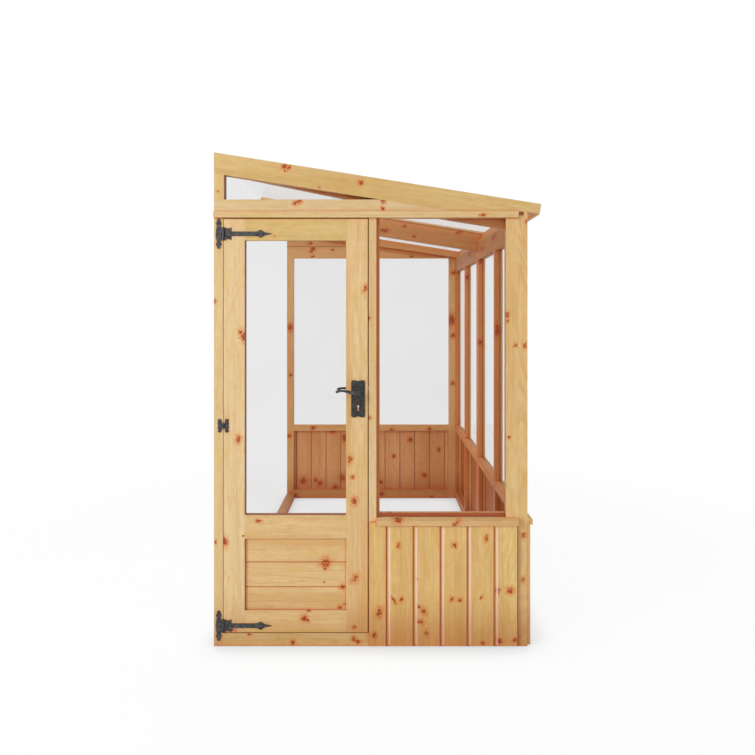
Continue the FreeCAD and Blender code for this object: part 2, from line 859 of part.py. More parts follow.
# Front triangle: a stile on a tapered rail under the end rafter, grooved round one pane.
def front_triangle():
    def grooved(label, blank):
        y = f"{front} + {glass_near}"
        thickness = "glass_thickness + 2 * glass_play"
        keep(less(label, blank, [roof_piece(label + "_slot", infill_outline(groove), y, thickness)]))

    rail_top = f"({seat} + infill_rail_height)"
    stile = [
        ("0", rail_top),
        ("infill_stile_width", rail_top),
        ("infill_stile_width", rafter_foot("infill_stile_width")),
        ("0", rafter_foot("0")),
    ]
    rail = [
        ("0", seat),
        (rafter_reaches(seat), seat),
        (rafter_reaches(rail_top), rail_top),
        ("0", rail_top),
    ]
    pane = infill_outline("glass_edge")
    keep(roof_piece("front_infill_pane", pane, f"{front} + glass_setback", "glass_thickness"))
    grooved("front_infill_stile", roof_piece("infill_stile_blank", stile, front, "frame_depth"))
    grooved("front_infill_rail", roof_piece("infill_rail_blank", rail, front, "frame_depth"))
    grooved("front_end_rafter", end_rafter("front_rafter_blank", front))


def wall_runner():
    x = (left, f"{left} + runner_width")
    keep(block("wall_side_runner", x, (front_inside, back_inside), ("0", "runner_height")))


# The door: stiles and tenoned rails round a pane, with tongued boards below.
leaf_inner = (f"({leaf_left} + door_stile_width)", f"({leaf_right} - door_stile_width)")
leaf_y = (front, leaf_back)
leaf_rails = {
    "bottom": (leaf_foot, f"{leaf_foot} + door_bottom_rail"),
    "mid": ("door_mid_rail_top - door_mid_rail", "door_mid_rail_top"),
    "top": (f"{leaf_top} - door_top_rail", leaf_top),
}
panel_z = (leaf_rails["bottom"][1], leaf_rails["mid"][0])
pane_z = (leaf_rails["mid"][1], leaf_rails["top"][0])


def leaf_sheet(label, z, edge, thickness, play):
    """A sheet across the leaf's opening, let into its frame by an edge all round."""
    half = f"{thickness} / 2 + {play}"
    return block(
        label,
        (f"{leaf_inner[0]} - ({edge})", f"{leaf_inner[1]} + ({edge})"),
        (f"{leaf_middle} - ({half})", f"{leaf_middle} + ({half})"),
        (f"{z[0]} - ({edge})", f"{z[1]} + ({edge})"),
    )


def leaf_slots(label):
    """The grooves for the pane and for the panel boards, all round."""
    return [
        leaf_sheet(label + "_pane_slot", pane_z, groove, "glass_thickness", "glass_play"),
        leaf_sheet(label + "_slot", panel_z, "panel_edge + 0.5", "panel_thickness", "glass_play"),
    ]


def leaf_tenon(label, z, play):
    """The tongue that runs through a rail and on into both stiles."""
    half = f"tenon_thickness / 2 + {play}"
    return block(
        label,
        (
            f"{leaf_inner[0]} - tenon_length - {play}",
            f"{leaf_inner[1]} + tenon_length + {play}",
        ),
        (f"{leaf_middle} - ({half})", f"{leaf_middle} + ({half})"),
        (f"{z[0]} + tenon_shoulder - {play}", f"{z[1]} - tenon_shoulder + {play}"),
    )


def door():
    for name, z in leaf_rails.items():
        label = f"door_{name}_rail"
        blank = block(label + "_blank", leaf_inner, leaf_y, z)
        body = joined(label + "_tenoned", [blank, leaf_tenon(label + "_tenon", z, "0")])
        keep(less(label, body, leaf_slots(label)))
    stiles = {
        "hinge": ((leaf_left, leaf_inner[0]), []),
        "lock": ((leaf_inner[1], leaf_right), lock_recess()),
    }
    for side, (x, recess) in stiles.items():
        label = f"door_{side}_stile"
        blank = block(label + "_blank", x, leaf_y, (leaf_foot, leaf_top))
        mortises = [
            leaf_tenon(f"{label}_{name}_mortise", z, "tenon_play") for name, z in leaf_rails.items()
        ]
        keep(less(label, blank, [*leaf_slots(label), *mortises, *recess]))
    keep(leaf_sheet("door_pane", pane_z, "glass_edge", "glass_thickness", "0"))


def panel_boards():
    """Three level boards, tongued into each other with a vee along each joint."""
    count = sizes["panel_board_count"]
    foot = f"({panel_z[0]} - panel_edge)"
    pitch = f"(({panel_z[1]} + panel_edge - panel_tongue - {foot}) / panel_board_count)"
    high = f"({pitch} - panel_gap)"
    near = "(panel_thickness - panel_tongue) / 2"
    far = "(panel_thickness + panel_tongue) / 2"
    play = "panel_gap / 2"
    section = [
        ("panel_vee", "0"),
        (f"{near} - {play}", "0"),
        (f"{near} - {play}", "panel_tongue + panel_gap"),
        (f"{far} + {play}", "panel_tongue + panel_gap"),
        (f"{far} + {play}", "0"),
        ("panel_thickness", "0"),
        ("panel_thickness", high),
        (far, high),
        (far, f"{high} + panel_tongue"),
        (near, f"{high} + panel_tongue"),
        (near, high),
        ("panel_vee", high),
        ("0", f"{high} - panel_vee"),
        ("0", "panel_vee"),
    ]
    start = f"{leaf_inner[0]} - panel_edge"
    length = f"{leaf_inner[1]} - {leaf_inner[0]} + 2 * panel_edge"
    y = f"{leaf_middle} - panel_thickness / 2"
    boards = [
        profile(f"panel_board_{i}", "YZ", section, length, (start, y, f"{foot} + {pitch} * {i}"))
        for i in range(count)
    ]
    keep(together("door_panel_boards", boards))


# Two strap hinges and a butterfly hinge, all on one axis outside the door's edge.
def knuckles(label, centre, height, owner):
    """Three knuckles on the axis: the outer two for the frame and the middle one for the door."""
    tall = f"({height}) / 3 - knuckle_gap"
    items = []
    for i in (1,) if owner == "door" else (0, 2):
        foot = f"{centre} - ({height}) / 2 + ({height}) / 3 * {i} + knuckle_gap / 2"
        items.append(rod(f"{label}_knuckle_{i}", "knuckle_radius", tall, *axis_line, foot))
        span = (hinge_axis_x, f"{hinge_axis_x} + {tab_reach}")
        if owner == "frame":
            span = (f"{hinge_axis_x} - {tab_reach}", hinge_axis_x)
        items.append(block(f"{label}_tab_{i}", span, plate_y, (foot, f"{foot} + {tall}")))
    return items


def hinge_leaf(label, plate, centre, height, owner):
    """A flat plate with its knuckles, bored for the pin."""
    solid = joined(label + "_solid", [plate, *knuckles(label, centre, height, owner)])
    foot = f"{centre} - ({height}) / 2 - 1"
    bore = rod(label + "_bore", "pin_radius + pin_play", f"{height} + 2", *axis_line, foot)
    return less(label, solid, [bore])


def face_plate(label, corners, x, z):
    """A flat iron shape on the outer face, drawn from the front."""
    return profile(label, "XZ", corners, "hinge_plate_thickness", (x, plate_y[0], z))


def strap_outline():
    """A strap from its spear tip back over the boss to the flared end at the knuckle."""
    half = "strap_height / 2"
    boss = "strap_boss_place"
    radius = "strap_boss_radius"
    return mirrored(
        [
            ("strap_length", "0"),
            (f"{boss} + 0.95 * {radius}", f"0.45 * {radius}", f"1.4 * {radius}", -1),
            (boss, f"1.03 * {radius}", f"1.4 * {radius}", -1),
            (f"{boss} - 0.9 * {radius}", half),
            ("strap_flare", half),
            ("strap_flare", "knuckle_height / 2", "0.42 * knuckle_height", 1),
            (hinge_root, "knuckle_height / 2"),
        ],
        axis=1,
    )


def frame_plate_outline():
    """A tall plate swelling in the middle, with a round finial at each end, about its centre."""
    width = "hinge_plate_width"
    top = "hinge_plate_height / 2"
    return mirrored(
        [
            ("0", f"-{top}", f"0.3 * {width}", -1),
            (f"0.25 * {width}", f"-{top} + 0.46 * {width}", f"0.42 * {width}", -1),
            (f"0.29 * {width}", f"-{top} + 1.15 * {width}", f"4.8 * {width}", -1),
            (f"0.29 * {width}", f"{top} - 1.15 * {width}", f"0.42 * {width}", -1),
            (f"0.25 * {width}", f"{top} - 0.46 * {width}", f"0.3 * {width}", -1),
            ("0", top),
        ]
    )


def wing_outline(owner):
    """One wing of a butterfly hinge, scalloped, reaching out from the knuckle."""
    half = "butterfly_height / 2"
    reach = "butterfly_wing"
    wide = f"0.4 * {reach}"
    tight = f"0.335 * {reach}"
    wing = [
        (hinge_root, "-butterfly_waist / 2"),
        (f"0.3 * {reach}", f"-0.78 * {half}", tight, -1),
        (f"0.95 * {reach}", f"-0.78 * {half}", wide, 1),
        (reach, f"-0.27 * {half}", wide, 1),
        (reach, f"0.27 * {half}", wide, 1),
        (f"0.95 * {reach}", f"0.78 * {half}", tight, -1),
        (f"0.3 * {reach}", f"0.78 * {half}"),
        (hinge_root, "butterfly_waist / 2"),
    ]
    if owner == "door":
        return wing
    flipped = [(f"-({c[0]})", c[1]) for c in reversed(wing)]
    arcs = [c[2:] for c in reversed(wing)]
    return [(*point, *arc) for point, arc in zip(flipped, arcs[1:] + arcs[:1])]


def hinge_pin(name, centre, height):
    """A pin flush with the ends of its knuckles."""
    foot = f"{centre} - ({height}) / 2"
    return rod(f"{name}_pin", "pin_radius", height, *axis_line, foot)


def hinges():
    frame_leaves = []
    door_leaves = []
    pins = []
    places = (
        ("top", f"({leaf_top} - top_hinge_drop)"),
        ("bottom", f"({leaf_foot} + bottom_hinge_rise)"),
    )
    for name, centre in places:
        plate_x = f"{hinge_axis_x} - {hinge_root} - hinge_plate_width / 2"
        rows = (centre, "knuckle_height")
        plate = face_plate(f"{name}_plate_blank", frame_plate_outline(), plate_x, centre)
        frame_leaves.append(hinge_leaf(f"{name}_frame_leaf", plate, *rows, "frame"))
        strap = face_plate(f"{name}_strap_blank", strap_outline(), hinge_axis_x, centre)
        door_leaves.append(hinge_leaf(f"{name}_door_leaf", strap, *rows, "door"))
        pins.append(hinge_pin(name, *rows))
    rows = ("butterfly_place", "butterfly_waist")
    for owner, group in (("frame", frame_leaves), ("door", door_leaves)):
        label = f"butterfly_{owner}_leaf"
        wing = face_plate(label + "_blank", wing_outline(owner), hinge_axis_x, rows[0])
        group.append(hinge_leaf(label, wing, *rows, owner))
    pins.append(hinge_pin("butterfly", *rows))
    keep(together("hinge_frame_leaves", frame_leaves))
    keep(together("hinge_door_leaves", door_leaves))
    keep(together("hinge_pins", pins))


# Mortise lock: a case behind its forend, a sprung latch worked by the follower, and a dead bolt.
case_x = (f"{leaf_right} - case_depth", leaf_right)
case_z = ("lever_height + case_rise - case_height", "lever_height + case_rise")
keyhole_cut = ("keyhole_slot_width", "keyhole_slot")
plate_cut = ("plate_slot_width", "plate_slot")


def keyhole(label, y_from, length, radius="keyhole_radius", slot=keyhole_cut):
    """A round hole over a slot, along Y."""
    width, drop = slot
    eye = rod(f"{label}_eye", radius, length, hub_x, y_from, keyhole_height, "y")
    cut = block(
        f"{label}_slot",
        (f"{hub_x} - {width} / 2", f"{hub_x} + {width} / 2"),
        (y_from, f"{y_from} + {length}"),
        (f"{keyhole_height} - {drop}", keyhole_height),
    )
    return [eye, cut]


def case_block(label, grow):
    """The case's outer block, larger by a play where it is a mortise."""
    half = f"case_thickness / 2 + {grow}"
    return block(
        label,
        (f"{case_x[0]} - {grow}", case_x[1]),
        (f"{leaf_middle} - ({half})", f"{leaf_middle} + ({half})"),
        (f"{case_z[0]} - {grow}", f"{case_z[1]} + {grow}"),
    )


def forend_block(label, grow):
    half = f"forend_width / 2 + {grow}"
    return block(
        label,
        (f"{leaf_right} - forend_thickness", leaf_right),
        (f"{leaf_middle} - ({half})", f"{leaf_middle} + ({half})"),
        (f"{case_z[0]} - forend_overlap - {grow}", f"{case_z[1]} + forend_overlap + {grow}"),
    )


def spindle_passage(label):
    return rod(
        label, "spindle_bore", "door_thickness + 2", hub_x, f"{front} - 1", "lever_height", "y"
    )


def lock_recess():
    """What the lock stile loses for the lock."""
    return [
        case_block("case_mortise", "case_play"),
        forend_block("forend_recess", "forend_play"),
        spindle_passage("stile_passage"),
        *keyhole("stile_keyhole", f"{front} - 1", "door_thickness + 2"),
    ]


def lock_case():
    solid = joined("case_solid", [case_block("case_block", "0"), forend_block("forend", "0")])
    half = "case_thickness / 2 - case_wall"
    cavity = block(
        "case_cavity",
        (f"{case_x[0]} + case_wall", f"{leaf_right} - forend_thickness"),
        (f"{leaf_middle} - ({half})", f"{leaf_middle} + ({half})"),
        (f"{case_z[0]} + case_wall", f"{case_z[1]} - case_wall"),
    )
    mouth = (f"{leaf_right} - forend_thickness - 1", f"{leaf_right} + 1")
    cutters = [
        cavity,
        *bolt_boxes("case_mouth", mouth, "bolt_play"),
        spindle_passage("case_passage"),
        *keyhole("case_keyhole", f"{front} - 1", "door_thickness + 2"),
    ]
    keep(less("lock_case", solid, cutters))


def backplate_outline():
    """A tall plate with a shallow arch cut into its head and foot, drawn about its centre."""
    half = "plate_width / 2"
    level_edge = "(plate_height / 2 - plate_scallop)"
    arch = "(((0.4 * plate_width) ^ 2 + plate_scallop ^ 2) / (2 * plate_scallop))"
    return mirrored(
        [
            ("0", f"-{level_edge}", arch, -1),
            (f"0.8 * {half}", f"-{level_edge} - plate_scallop"),
            (half, f"-{level_edge}"),
            (half, level_edge),
            (f"0.8 * {half}", f"{level_edge} + plate_scallop", arch, -1),
            ("0", level_edge),
        ]
    )


def backplates():
    plates = []
    hole = ("0", "plate_drop", "lever_neck_radius + lever_play")
    for name, y in (("outer", f"{front} - plate_thickness"), ("inner", leaf_back)):
        at = (hub_x, y, "lever_height - plate_drop")
        label = f"{name}_backplate"
        corners = backplate_outline()
        blank = profile(label + "_blank", "XZ", corners, "plate_thickness", at, holes=[hole])
        cut = (f"{y} - 1", "plate_thickness + 2", "plate_eye_radius", plate_cut)
        plates.append(less(label, blank, keyhole(label + "_keyhole", *cut)))
    keep(together("door_backplates", plates))


def lever_outline():
    """A lever seen from the front: it leaves the hub low, rises to a crest and droops to its tip."""
    tip_x = "-(lever_length - lever_end)"
    return [
        ("0", "-0.6 * lever_root"),
        ("-0.2 * lever_length", "-0.6 * lever_root"),
        ("-0.6 * lever_length", "0.3 * lever_root", "0.5 * lever_length", -1),
        (tip_x, "lever_tip_rise - lever_end"),
        (tip_x, "lever_tip_rise + lever_end", "1.3 * lever_length", 1),
        ("-0.35 * lever_length", "0.73 * lever_root"),
        ("0", "0.4 * lever_root"),
    ]


def spindle_box(label, start, stop, play):
    """The square bar between two planes across it, grown by a play."""
    half = f"(spindle_size / 2 + {play})"
    return block(
        label,
        (f"{hub_x} - {half}", f"{hub_x} + {half}"),
        (start, stop),
        (f"lever_height - {half}", f"lever_height + {half}"),
    )


def lever_handles():
    tip = (f"{hub_x} - lever_length + lever_end", "lever_height + lever_tip_rise")
    bosses = {
        "outer": f"{front} - plate_thickness - lever_play - lever_boss_depth",
        "inner": f"{leaf_back} + plate_thickness + lever_play",
    }
    places = {
        "outer": (f"({front} - lever_reach)", f"({front} - lever_play)"),
        "inner": (f"({leaf_back} + lever_play)", f"({leaf_back} + lever_reach)"),
    }
    levers = []
    for name, (start, stop) in places.items():
        outer = name == "outer"
        grip = start if outer else f"({stop} - lever_thickness)"
        socket = f"({stop} - spindle_grip)" if outer else start
        thick = "lever_thickness"
        at = (hub_x, grip, "lever_height")
        arm = profile(f"{name}_lever_arm", "XZ", lever_outline(), thick, at)
        length = f"{stop} - {start}"
        radius = "lever_neck_radius"
        neck = rod(f"{name}_neck", radius, length, hub_x, start, "lever_height", "y")
        end = rod(f"{name}_lever_tip", "lever_end", thick, tip[0], grip, tip[1], "y")
        hub = (hub_x, bosses[name], "lever_height", "y")
        boss = rod(f"{name}_boss", "lever_boss_radius", "lever_boss_depth", *hub)
        bore = spindle_box(f"{name}_socket", socket, f"{socket} + spindle_grip", "spindle_play")
        solid = joined(f"{name}_lever_solid", [arm, neck, end, boss])
        levers.append(less(f"{name}_lever", solid, [bore]))
    keep(together("lever_handles", levers))


def follower():
    start = f"{front} - lever_play - spindle_grip + 1"
    stop = f"{leaf_back} + lever_play + spindle_grip - 1"
    thick = "(case_thickness - 2 * case_wall - 1)"
    half = "(follower_arm_width / 2)"
    y = f"({leaf_middle} - {thick} / 2)"
    tip_z = "lever_height + follower_arm"
    arm_x = (f"{hub_x} - {half}", f"{hub_x} + {half}")
    pieces = [
        spindle_box("spindle_bar", start, stop, "0"),
        rod("follower_disc", "follower_radius", thick, hub_x, y, "lever_height", "y"),
        block("follower_arm_blank", arm_x, (y, f"{y} + {thick}"), ("lever_height", tip_z)),
        rod("follower_tip", half, thick, hub_x, y, tip_z, "y"),
    ]
    keep(joined("lock_follower", pieces))


def bolt_y(thickness):
    return (f"{leaf_middle} - {thickness} / 2", f"{leaf_middle} + {thickness} / 2")


def latch_bolt():
    """The latch: a bevelled head, and a tail that hooks down behind the follower's arm."""
    top = f"({latch_centre} + latch_height / 2)"
    head_back = f"({leaf_right} - latch_body)"
    nose = "latch_body + latch_throw"
    half = "latch_thickness / 2"
    section = [
        ("0", f"-{half}"),
        (nose, f"-{half}"),
        (nose, f"-{half} + latch_nose"),
        ("latch_body + latch_shoulder", half),
        ("0", half),
    ]
    at = (head_back, leaf_middle, f"{latch_centre} - latch_height / 2")
    head = profile("latch_head", "XY", section, "latch_height", at)
    lug_face = f"({hub_x} - follower_arm_width / 2 - follower_play)"
    lug_back = f"{lug_face} - latch_lug"
    y = bolt_y("latch_thickness")
    bar = block("latch_tail", (lug_back, head_back), y, (f"{top} - latch_tail_height", top))
    lug_foot = "lever_height + follower_radius + follower_play"
    lug = block("latch_hook", (lug_back, lug_face), y, (lug_foot, top))
    keep(joined("latch_bolt", [head, bar, lug]))


def dead_bolt():
    """The dead bolt, drawn back, with the talon that the key throws."""
    x = (f"{leaf_right} - dead_length", leaf_right)
    z = (f"{dead_centre} - dead_height / 2", f"{dead_centre} + dead_height / 2")
    talon_x = (f"{x[0]} + dead_talon", f"{x[0]} + 2 * dead_talon")
    talon_z = (f"{z[0]} - 1", f"{z[0]} + dead_talon")
    bolt = block("dead_blank", x, bolt_y("dead_thickness"), z)
    talon = block("dead_talon_cut", talon_x, bolt_y("2 * dead_thickness"), talon_z)
    keep(less("dead_bolt", bolt, [talon]))


front_gable()
front_mullion()
door_stops()
rear_gable()
rear_triangle()
long_wall()
eaves()
front_triangle()
roof()
wall_runner()
door()
panel_boards()
hinges()
lock_case()
backplates()
lever_handles()
follower()
latch_bolt()
dead_bolt()
doc.recompute()

for item in doc.Objects:
    if {"Invalid", "Error"} & set(item.State):
        raise RuntimeError(f"{item.Label} didn't compute: {item.State}")
for label, item in parts.items():
    if item.Shape.isNull() or not item.Shape.isValid() or not item.Shape.Solids:
        raise RuntimeError(f"{label} has no valid shape")
for label, item in parts.items():
    item.Shape.exportStep(f"parts/{label}.step")
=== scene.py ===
import math
import random

import bmesh
import bpy
from mathutils import Matrix, Vector


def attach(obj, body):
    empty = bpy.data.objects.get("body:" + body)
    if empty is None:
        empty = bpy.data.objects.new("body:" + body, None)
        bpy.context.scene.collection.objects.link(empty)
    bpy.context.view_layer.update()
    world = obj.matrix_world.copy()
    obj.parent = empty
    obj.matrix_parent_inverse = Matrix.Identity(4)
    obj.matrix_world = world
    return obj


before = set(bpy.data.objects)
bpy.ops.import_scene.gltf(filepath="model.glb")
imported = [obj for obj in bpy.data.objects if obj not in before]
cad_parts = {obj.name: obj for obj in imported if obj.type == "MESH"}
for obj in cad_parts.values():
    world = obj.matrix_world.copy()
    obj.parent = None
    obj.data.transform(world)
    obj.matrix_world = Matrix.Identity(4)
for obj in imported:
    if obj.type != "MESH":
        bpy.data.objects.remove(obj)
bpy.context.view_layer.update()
print("frame loaded:", len(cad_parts), "CAD nodes")


def linear(colour):
    # "#rrggbb" to the renderer's own values
    parts = [int(colour[i : i + 2], 16) / 255 for i in (1, 3, 5)]
    return [*(c / 12.92 if c <= 0.04045 else ((c + 0.055) / 1.055) ** 2.4 for c in parts), 1.0]


# shader building


def newMaterial(name):
    mat = bpy.data.materials.new(name)
    mat.use_nodes = True
    mat.node_tree.nodes.clear()
    return mat, mat.node_tree


def addNode(tree, kind, values=None, **settings):
    made = tree.nodes.new("ShaderNode" + kind)
    for key, value in settings.items():
        setattr(made, key, value)
    for key, value in (values or {}).items():
        if isinstance(value, bpy.types.NodeSocket):
            tree.links.new(value, made.inputs[key])
        else:
            made.inputs[key].default_value = value
    return made


def maths(tree, operation, a, b=0.0, clamp=False):
    made = addNode(tree, "Math", {0: a, 1: b}, operation=operation, use_clamp=clamp)
    return made.outputs[0]


def vectorMaths(tree, operation, a, b):
    return addNode(tree, "VectorMath", {0: a, 1: b}, operation=operation).outputs[0]


def scaled(tree, colour, factor):
    return addNode(tree, "VectorMath", {0: colour, "Scale": factor}, operation="SCALE").outputs[0]


def remap(tree, value, low, high, toLow=0.0, toHigh=1.0):
    values = {"Value": value, "From Min": low, "From Max": high, "To Min": toLow, "To Max": toHigh}
    return addNode(tree, "MapRange", values, interpolation_type="SMOOTHSTEP").outputs[0]


def mixColour(tree, factor, a, b, blend="MIX"):
    made = addNode(tree, "Mix", {0: factor, 6: a, 7: b}, data_type="RGBA", blend_type=blend)
    return made.outputs[2]


def ramp(tree, factor, stops):
    made = addNode(tree, "ValToRGB", {"Fac": factor})
    points = made.color_ramp.elements
    while len(points) < len(stops):
        points.new(0.5)
    for point, (place, colour) in zip(points, stops):
        point.position = place
        point.color = linear(colour)
    return made.outputs[0]


def noise(tree, vector, scale, detail=2.0, roughness=0.5, stretch=None):
    if stretch:
        vector = vectorMaths(tree, "MULTIPLY", vector, stretch)
    values = {"Vector": vector, "Scale": scale, "Detail": detail, "Roughness": roughness}
    return addNode(tree, "TexNoise", values).outputs["Fac"]


def finishSurface(tree, values):
    shader = addNode(tree, "BsdfPrincipled", values)
    addNode(tree, "OutputMaterial", {"Surface": shader.outputs[0]})


# Pine. The grain runs along the first of the turned coordinates.
roofSlope = math.atan2(0.209, 1.326)  # fall and run of the roof
grainTurns = {
    "across": (0.0, 0.0, 0.0),
    "upright": (0.0, math.pi / 2, 0.0),
    "deep": (0.0, 0.0, -math.pi / 2),
    "sloping": (0.0, -roofSlope, 0.0),
}
pineLook = {
    "palest": "#e8d0a2",
    "straw": "#dfc192",
    "gold": "#d2aa6b",
    "lateWood": "#b98543",
    "mottle": "#d8bb70",
    "fleck": "#daa45f",
    "tint": "#ffffff",
    "bandStretch": (0.8, 13.0, 13.0),
    "streakStretch": (2.2, 70.0, 70.0),
    "blotchStretch": (5.0, 26.0, 26.0),
    "fleckStretch": (24.0, 64.0, 64.0),
    "fibreStretch": (9.0, 420.0, 420.0),
    "ringGap": 0.0062,
    "ringShow": 0.14,
    "wander": (0.16, 0.07),
    "streakShow": 0.20,
    "mottleShow": 0.6,
    "fleckShow": 0.34,
    "boardLuck": 0.16,
    "knotBend": 0.016,
    "halo": "#d07722",
    "knotRim": "#74230a",
    "knotHeart": "#a13008",
    "knotCore": "#640f05",
    "haloShow": 0.95,
    "knotRings": 2.6,
    "knotSpread": (0.26, 0.115),
    "knotRadius": (0.003, 0.008),
    "knotShare": 0.55,
    "knotGrowth": 1.3,
    "ragged": 0.018,
    # painted shade on the faces behind the glass
    "insideShadeTint": "#eed2b6",
    "footTint": "#e2c8b6",
    "footRise": 0.24,
    # painted highlight on the scooped board edges
    "pale": "#efdccf",
    "scoop": (0.0065, 0.0135),
    "joint": 0.0055,
    "innerJoint": False,
    "seam": "#7d4228",
    # painted shade along given edges
    "edge": "#7d3f20",
    # painted crevice shade, also the colour of the joints outside
    "jointAndCreviceShade": "#bb5528",
    "creviceShadeReach": 0.010,
    "topShade": 1.0,
    "shadeReach": 0.05,
    "shadeWarmth": (1.17, 0.99, 0.90),
    "roughness": 0.56,
    "arris": 0.0016,
    "relief": (0.18, 0.0006),
}


def pineGrain(tree, name, grain, boards):
    # grain coordinates, moved by a chance amount for each piece and for each board in it
    coords = addNode(tree, "TexCoord").outputs["Object"]
    turned = addNode(tree, "Mapping", {"Vector": coords, "Rotation": grainTurns[grain]}).outputs[0]
    luck = addNode(tree, "ObjectInfo").outputs["Random"]
    if boards:
        axis, start, pitch = boards
        parts = addNode(tree, "SeparateXYZ", {0: coords})
        steps = maths(tree, "DIVIDE", maths(tree, "SUBTRACT", parts.outputs[axis], start), pitch)
        luck = maths(tree, "ADD", maths(tree, "FLOOR", steps), luck)
    luck = maths(tree, "ADD", luck, float(sum(map(ord, name)) % 97))
    shuffle = addNode(tree, "TexWhiteNoise", {"W": luck}, noise_dimensions="1D")
    shift = vectorMaths(tree, "MULTIPLY", shuffle.outputs["Color"], (7.0, 0.5, 0.5))
    return coords, vectorMaths(tree, "ADD", turned, shift), shuffle.outputs["Value"]


def chanceKnots(tree, moved, look):
    # scattered knots: distance from the nearest one, in knot radii
    parts = addNode(tree, "SeparateXYZ", {0: moved})
    around = maths(tree, "ADD", parts.outputs[1], maths(tree, "MULTIPLY", parts.outputs[2], 0.83))
    spread = look["knotSpread"]
    places = {
        0: maths(tree, "DIVIDE", parts.outputs[0], spread[0]),
        1: maths(tree, "DIVIDE", around, spread[1]),
    }
    flat = addNode(tree, "CombineXYZ", places).outputs[0]
    values = {"Vector": flat, "Scale": 1.0, "Randomness": 0.9}
    cells = addNode(tree, "TexVoronoi", values, voronoi_dimensions="2D")
    away = vectorMaths(tree, "SUBTRACT", flat, cells.outputs["Position"])
    real = vectorMaths(tree, "MULTIPLY", away, (*spread, 0.0))
    distance = addNode(tree, "VectorMath", {0: real}, operation="LENGTH").outputs["Value"]
    dice = addNode(tree, "SeparateColor", {0: cells.outputs["Color"]})
    low, high = look["knotRadius"]
    radius = maths(tree, "ADD", maths(tree, "MULTIPLY", dice.outputs[0], high - low), low)
    there = maths(tree, "LESS_THAN", dice.outputs[1], look["knotShare"])
    radius = maths(tree, "MAXIMUM", maths(tree, "MULTIPLY", radius, there), 0.0002)
    return maths(tree, "DIVIDE", distance, radius)


def placedKnots(tree, coords, knots, growth):
    # knots at x, z, radius, height to width and lean, and y where a piece repeats along y
    nearest = None
    for x, z, radius, tall, lean, *y in knots:
        values = {
            "Vector": coords,
            "Location": (x, y[0] if y else 0.0, z),
            "Rotation": (0.0, math.radians(lean), 0.0),
            "Scale": (radius * growth, 0.05 if y else 1e6, radius * growth * tall),
        }
        offset = addNode(tree, "Mapping", values, vector_type="TEXTURE").outputs[0]
        distance = addNode(tree, "VectorMath", {0: offset}, operation="LENGTH").outputs["Value"]
        nearest = distance if nearest is None else maths(tree, "MINIMUM", nearest, distance)
    return nearest


def knotField(tree, coords, moved, knots, look):
    # distance from the nearest knot in knot radii, with a ragged edge
    shake = addNode(tree, "TexNoise", {"Vector": coords, "Scale": 75.0, "Detail": 3.0})
    loose = vectorMaths(tree, "SUBTRACT", shake.outputs["Color"], (0.5, 0.5, 0.5))
    shaken = vectorMaths(tree, "MULTIPLY", loose, (look["ragged"],) * 3)
    ragged = vectorMaths(tree, "ADD", coords if knots else moved, shaken)
    if knots:
        return placedKnots(tree, ragged, knots, look["knotGrowth"])
    return chanceKnots(tree, ragged, look)


def lateRings(tree, moved, near, look):
    # growth rings round a pith that wanders along the board and bends round each knot
    wander = noise(tree, moved, 1.0, 2.0, 0.5, (0.9, 3.0, 3.0))
    sideways, inwards = look["wander"]
    parts = addNode(tree, "SeparateXYZ", {0: moved})
    side = maths(tree, "ADD", parts.outputs[1], maths(tree, "MULTIPLY", wander, sideways))
    depth = maths(tree, "ADD", parts.outputs[2], maths(tree, "MULTIPLY", wander, inwards))
    side = maths(tree, "MULTIPLY", side, side)
    depth = maths(tree, "MULTIPLY", depth, depth)
    reach = maths(tree, "SQRT", maths(tree, "ADD", side, depth))
    reach = maths(tree, "ADD", reach, maths(tree, "MULTIPLY", near, look["knotBend"]))
    turns = maths(tree, "DIVIDE", reach, look["ringGap"])
    turns = maths(tree, "ADD", turns, noise(tree, moved, 2.0, 3.0, 0.5, (1.5, 12.0, 12.0)))
    ring = maths(tree, "FRACT", turns)
    return maths(tree, "MULTIPLY", remap(tree, ring, 0.25, 0.9), remap(tree, ring, 1.0, 0.93))


def woodTone(tree, moved, luck, late, fibres, look):
    # broad bands along the board, then rings, streaks, blotches, flecks and fibres
    lateWood = linear(look["lateWood"])
    bands = noise(tree, moved, 1.0, 4.0, 0.55, look["bandStretch"])
    bands = maths(tree, "ADD", bands, maths(tree, "MULTIPLY", luck, look["boardLuck"]))
    stops = [(0.30, look["palest"]), (0.52, look["straw"]), (0.76, look["gold"])]
    tone = ramp(tree, maths(tree, "SUBTRACT", bands, 0.08, True), stops)
    tone = mixColour(tree, maths(tree, "MULTIPLY", late, look["ringShow"]), tone, lateWood)
    streaks = noise(tree, moved, 1.0, 2.0, 0.6, look["streakStretch"])
    streaks = remap(tree, streaks, 0.52, 0.74, 0.0, look["streakShow"])
    tone = mixColour(tree, streaks, tone, lateWood)
    blotches = noise(tree, moved, 1.0, 3.0, 0.6, look["blotchStretch"])
    blotches = remap(tree, blotches, 0.50, 0.72, 0.0, look["mottleShow"])
    tone = mixColour(tree, blotches, tone, linear(look["mottle"]))
    flecks = noise(tree, moved, 1.0, 4.0, 0.65, look["fleckStretch"])
    gilded = remap(tree, flecks, 0.48, 0.68, 0.0, look["fleckShow"])
    tone = mixColour(tree, gilded, tone, linear(look["fleck"]))
    tone = scaled(tree, tone, remap(tree, flecks, 0.30, 0.50, 1.05, 1.0))
    tone = scaled(tree, tone, remap(tree, fibres, 0.3, 0.7, 0.94, 1.04))
    return mixColour(tree, 1.0, tone, linear(look["tint"]), "MULTIPLY")


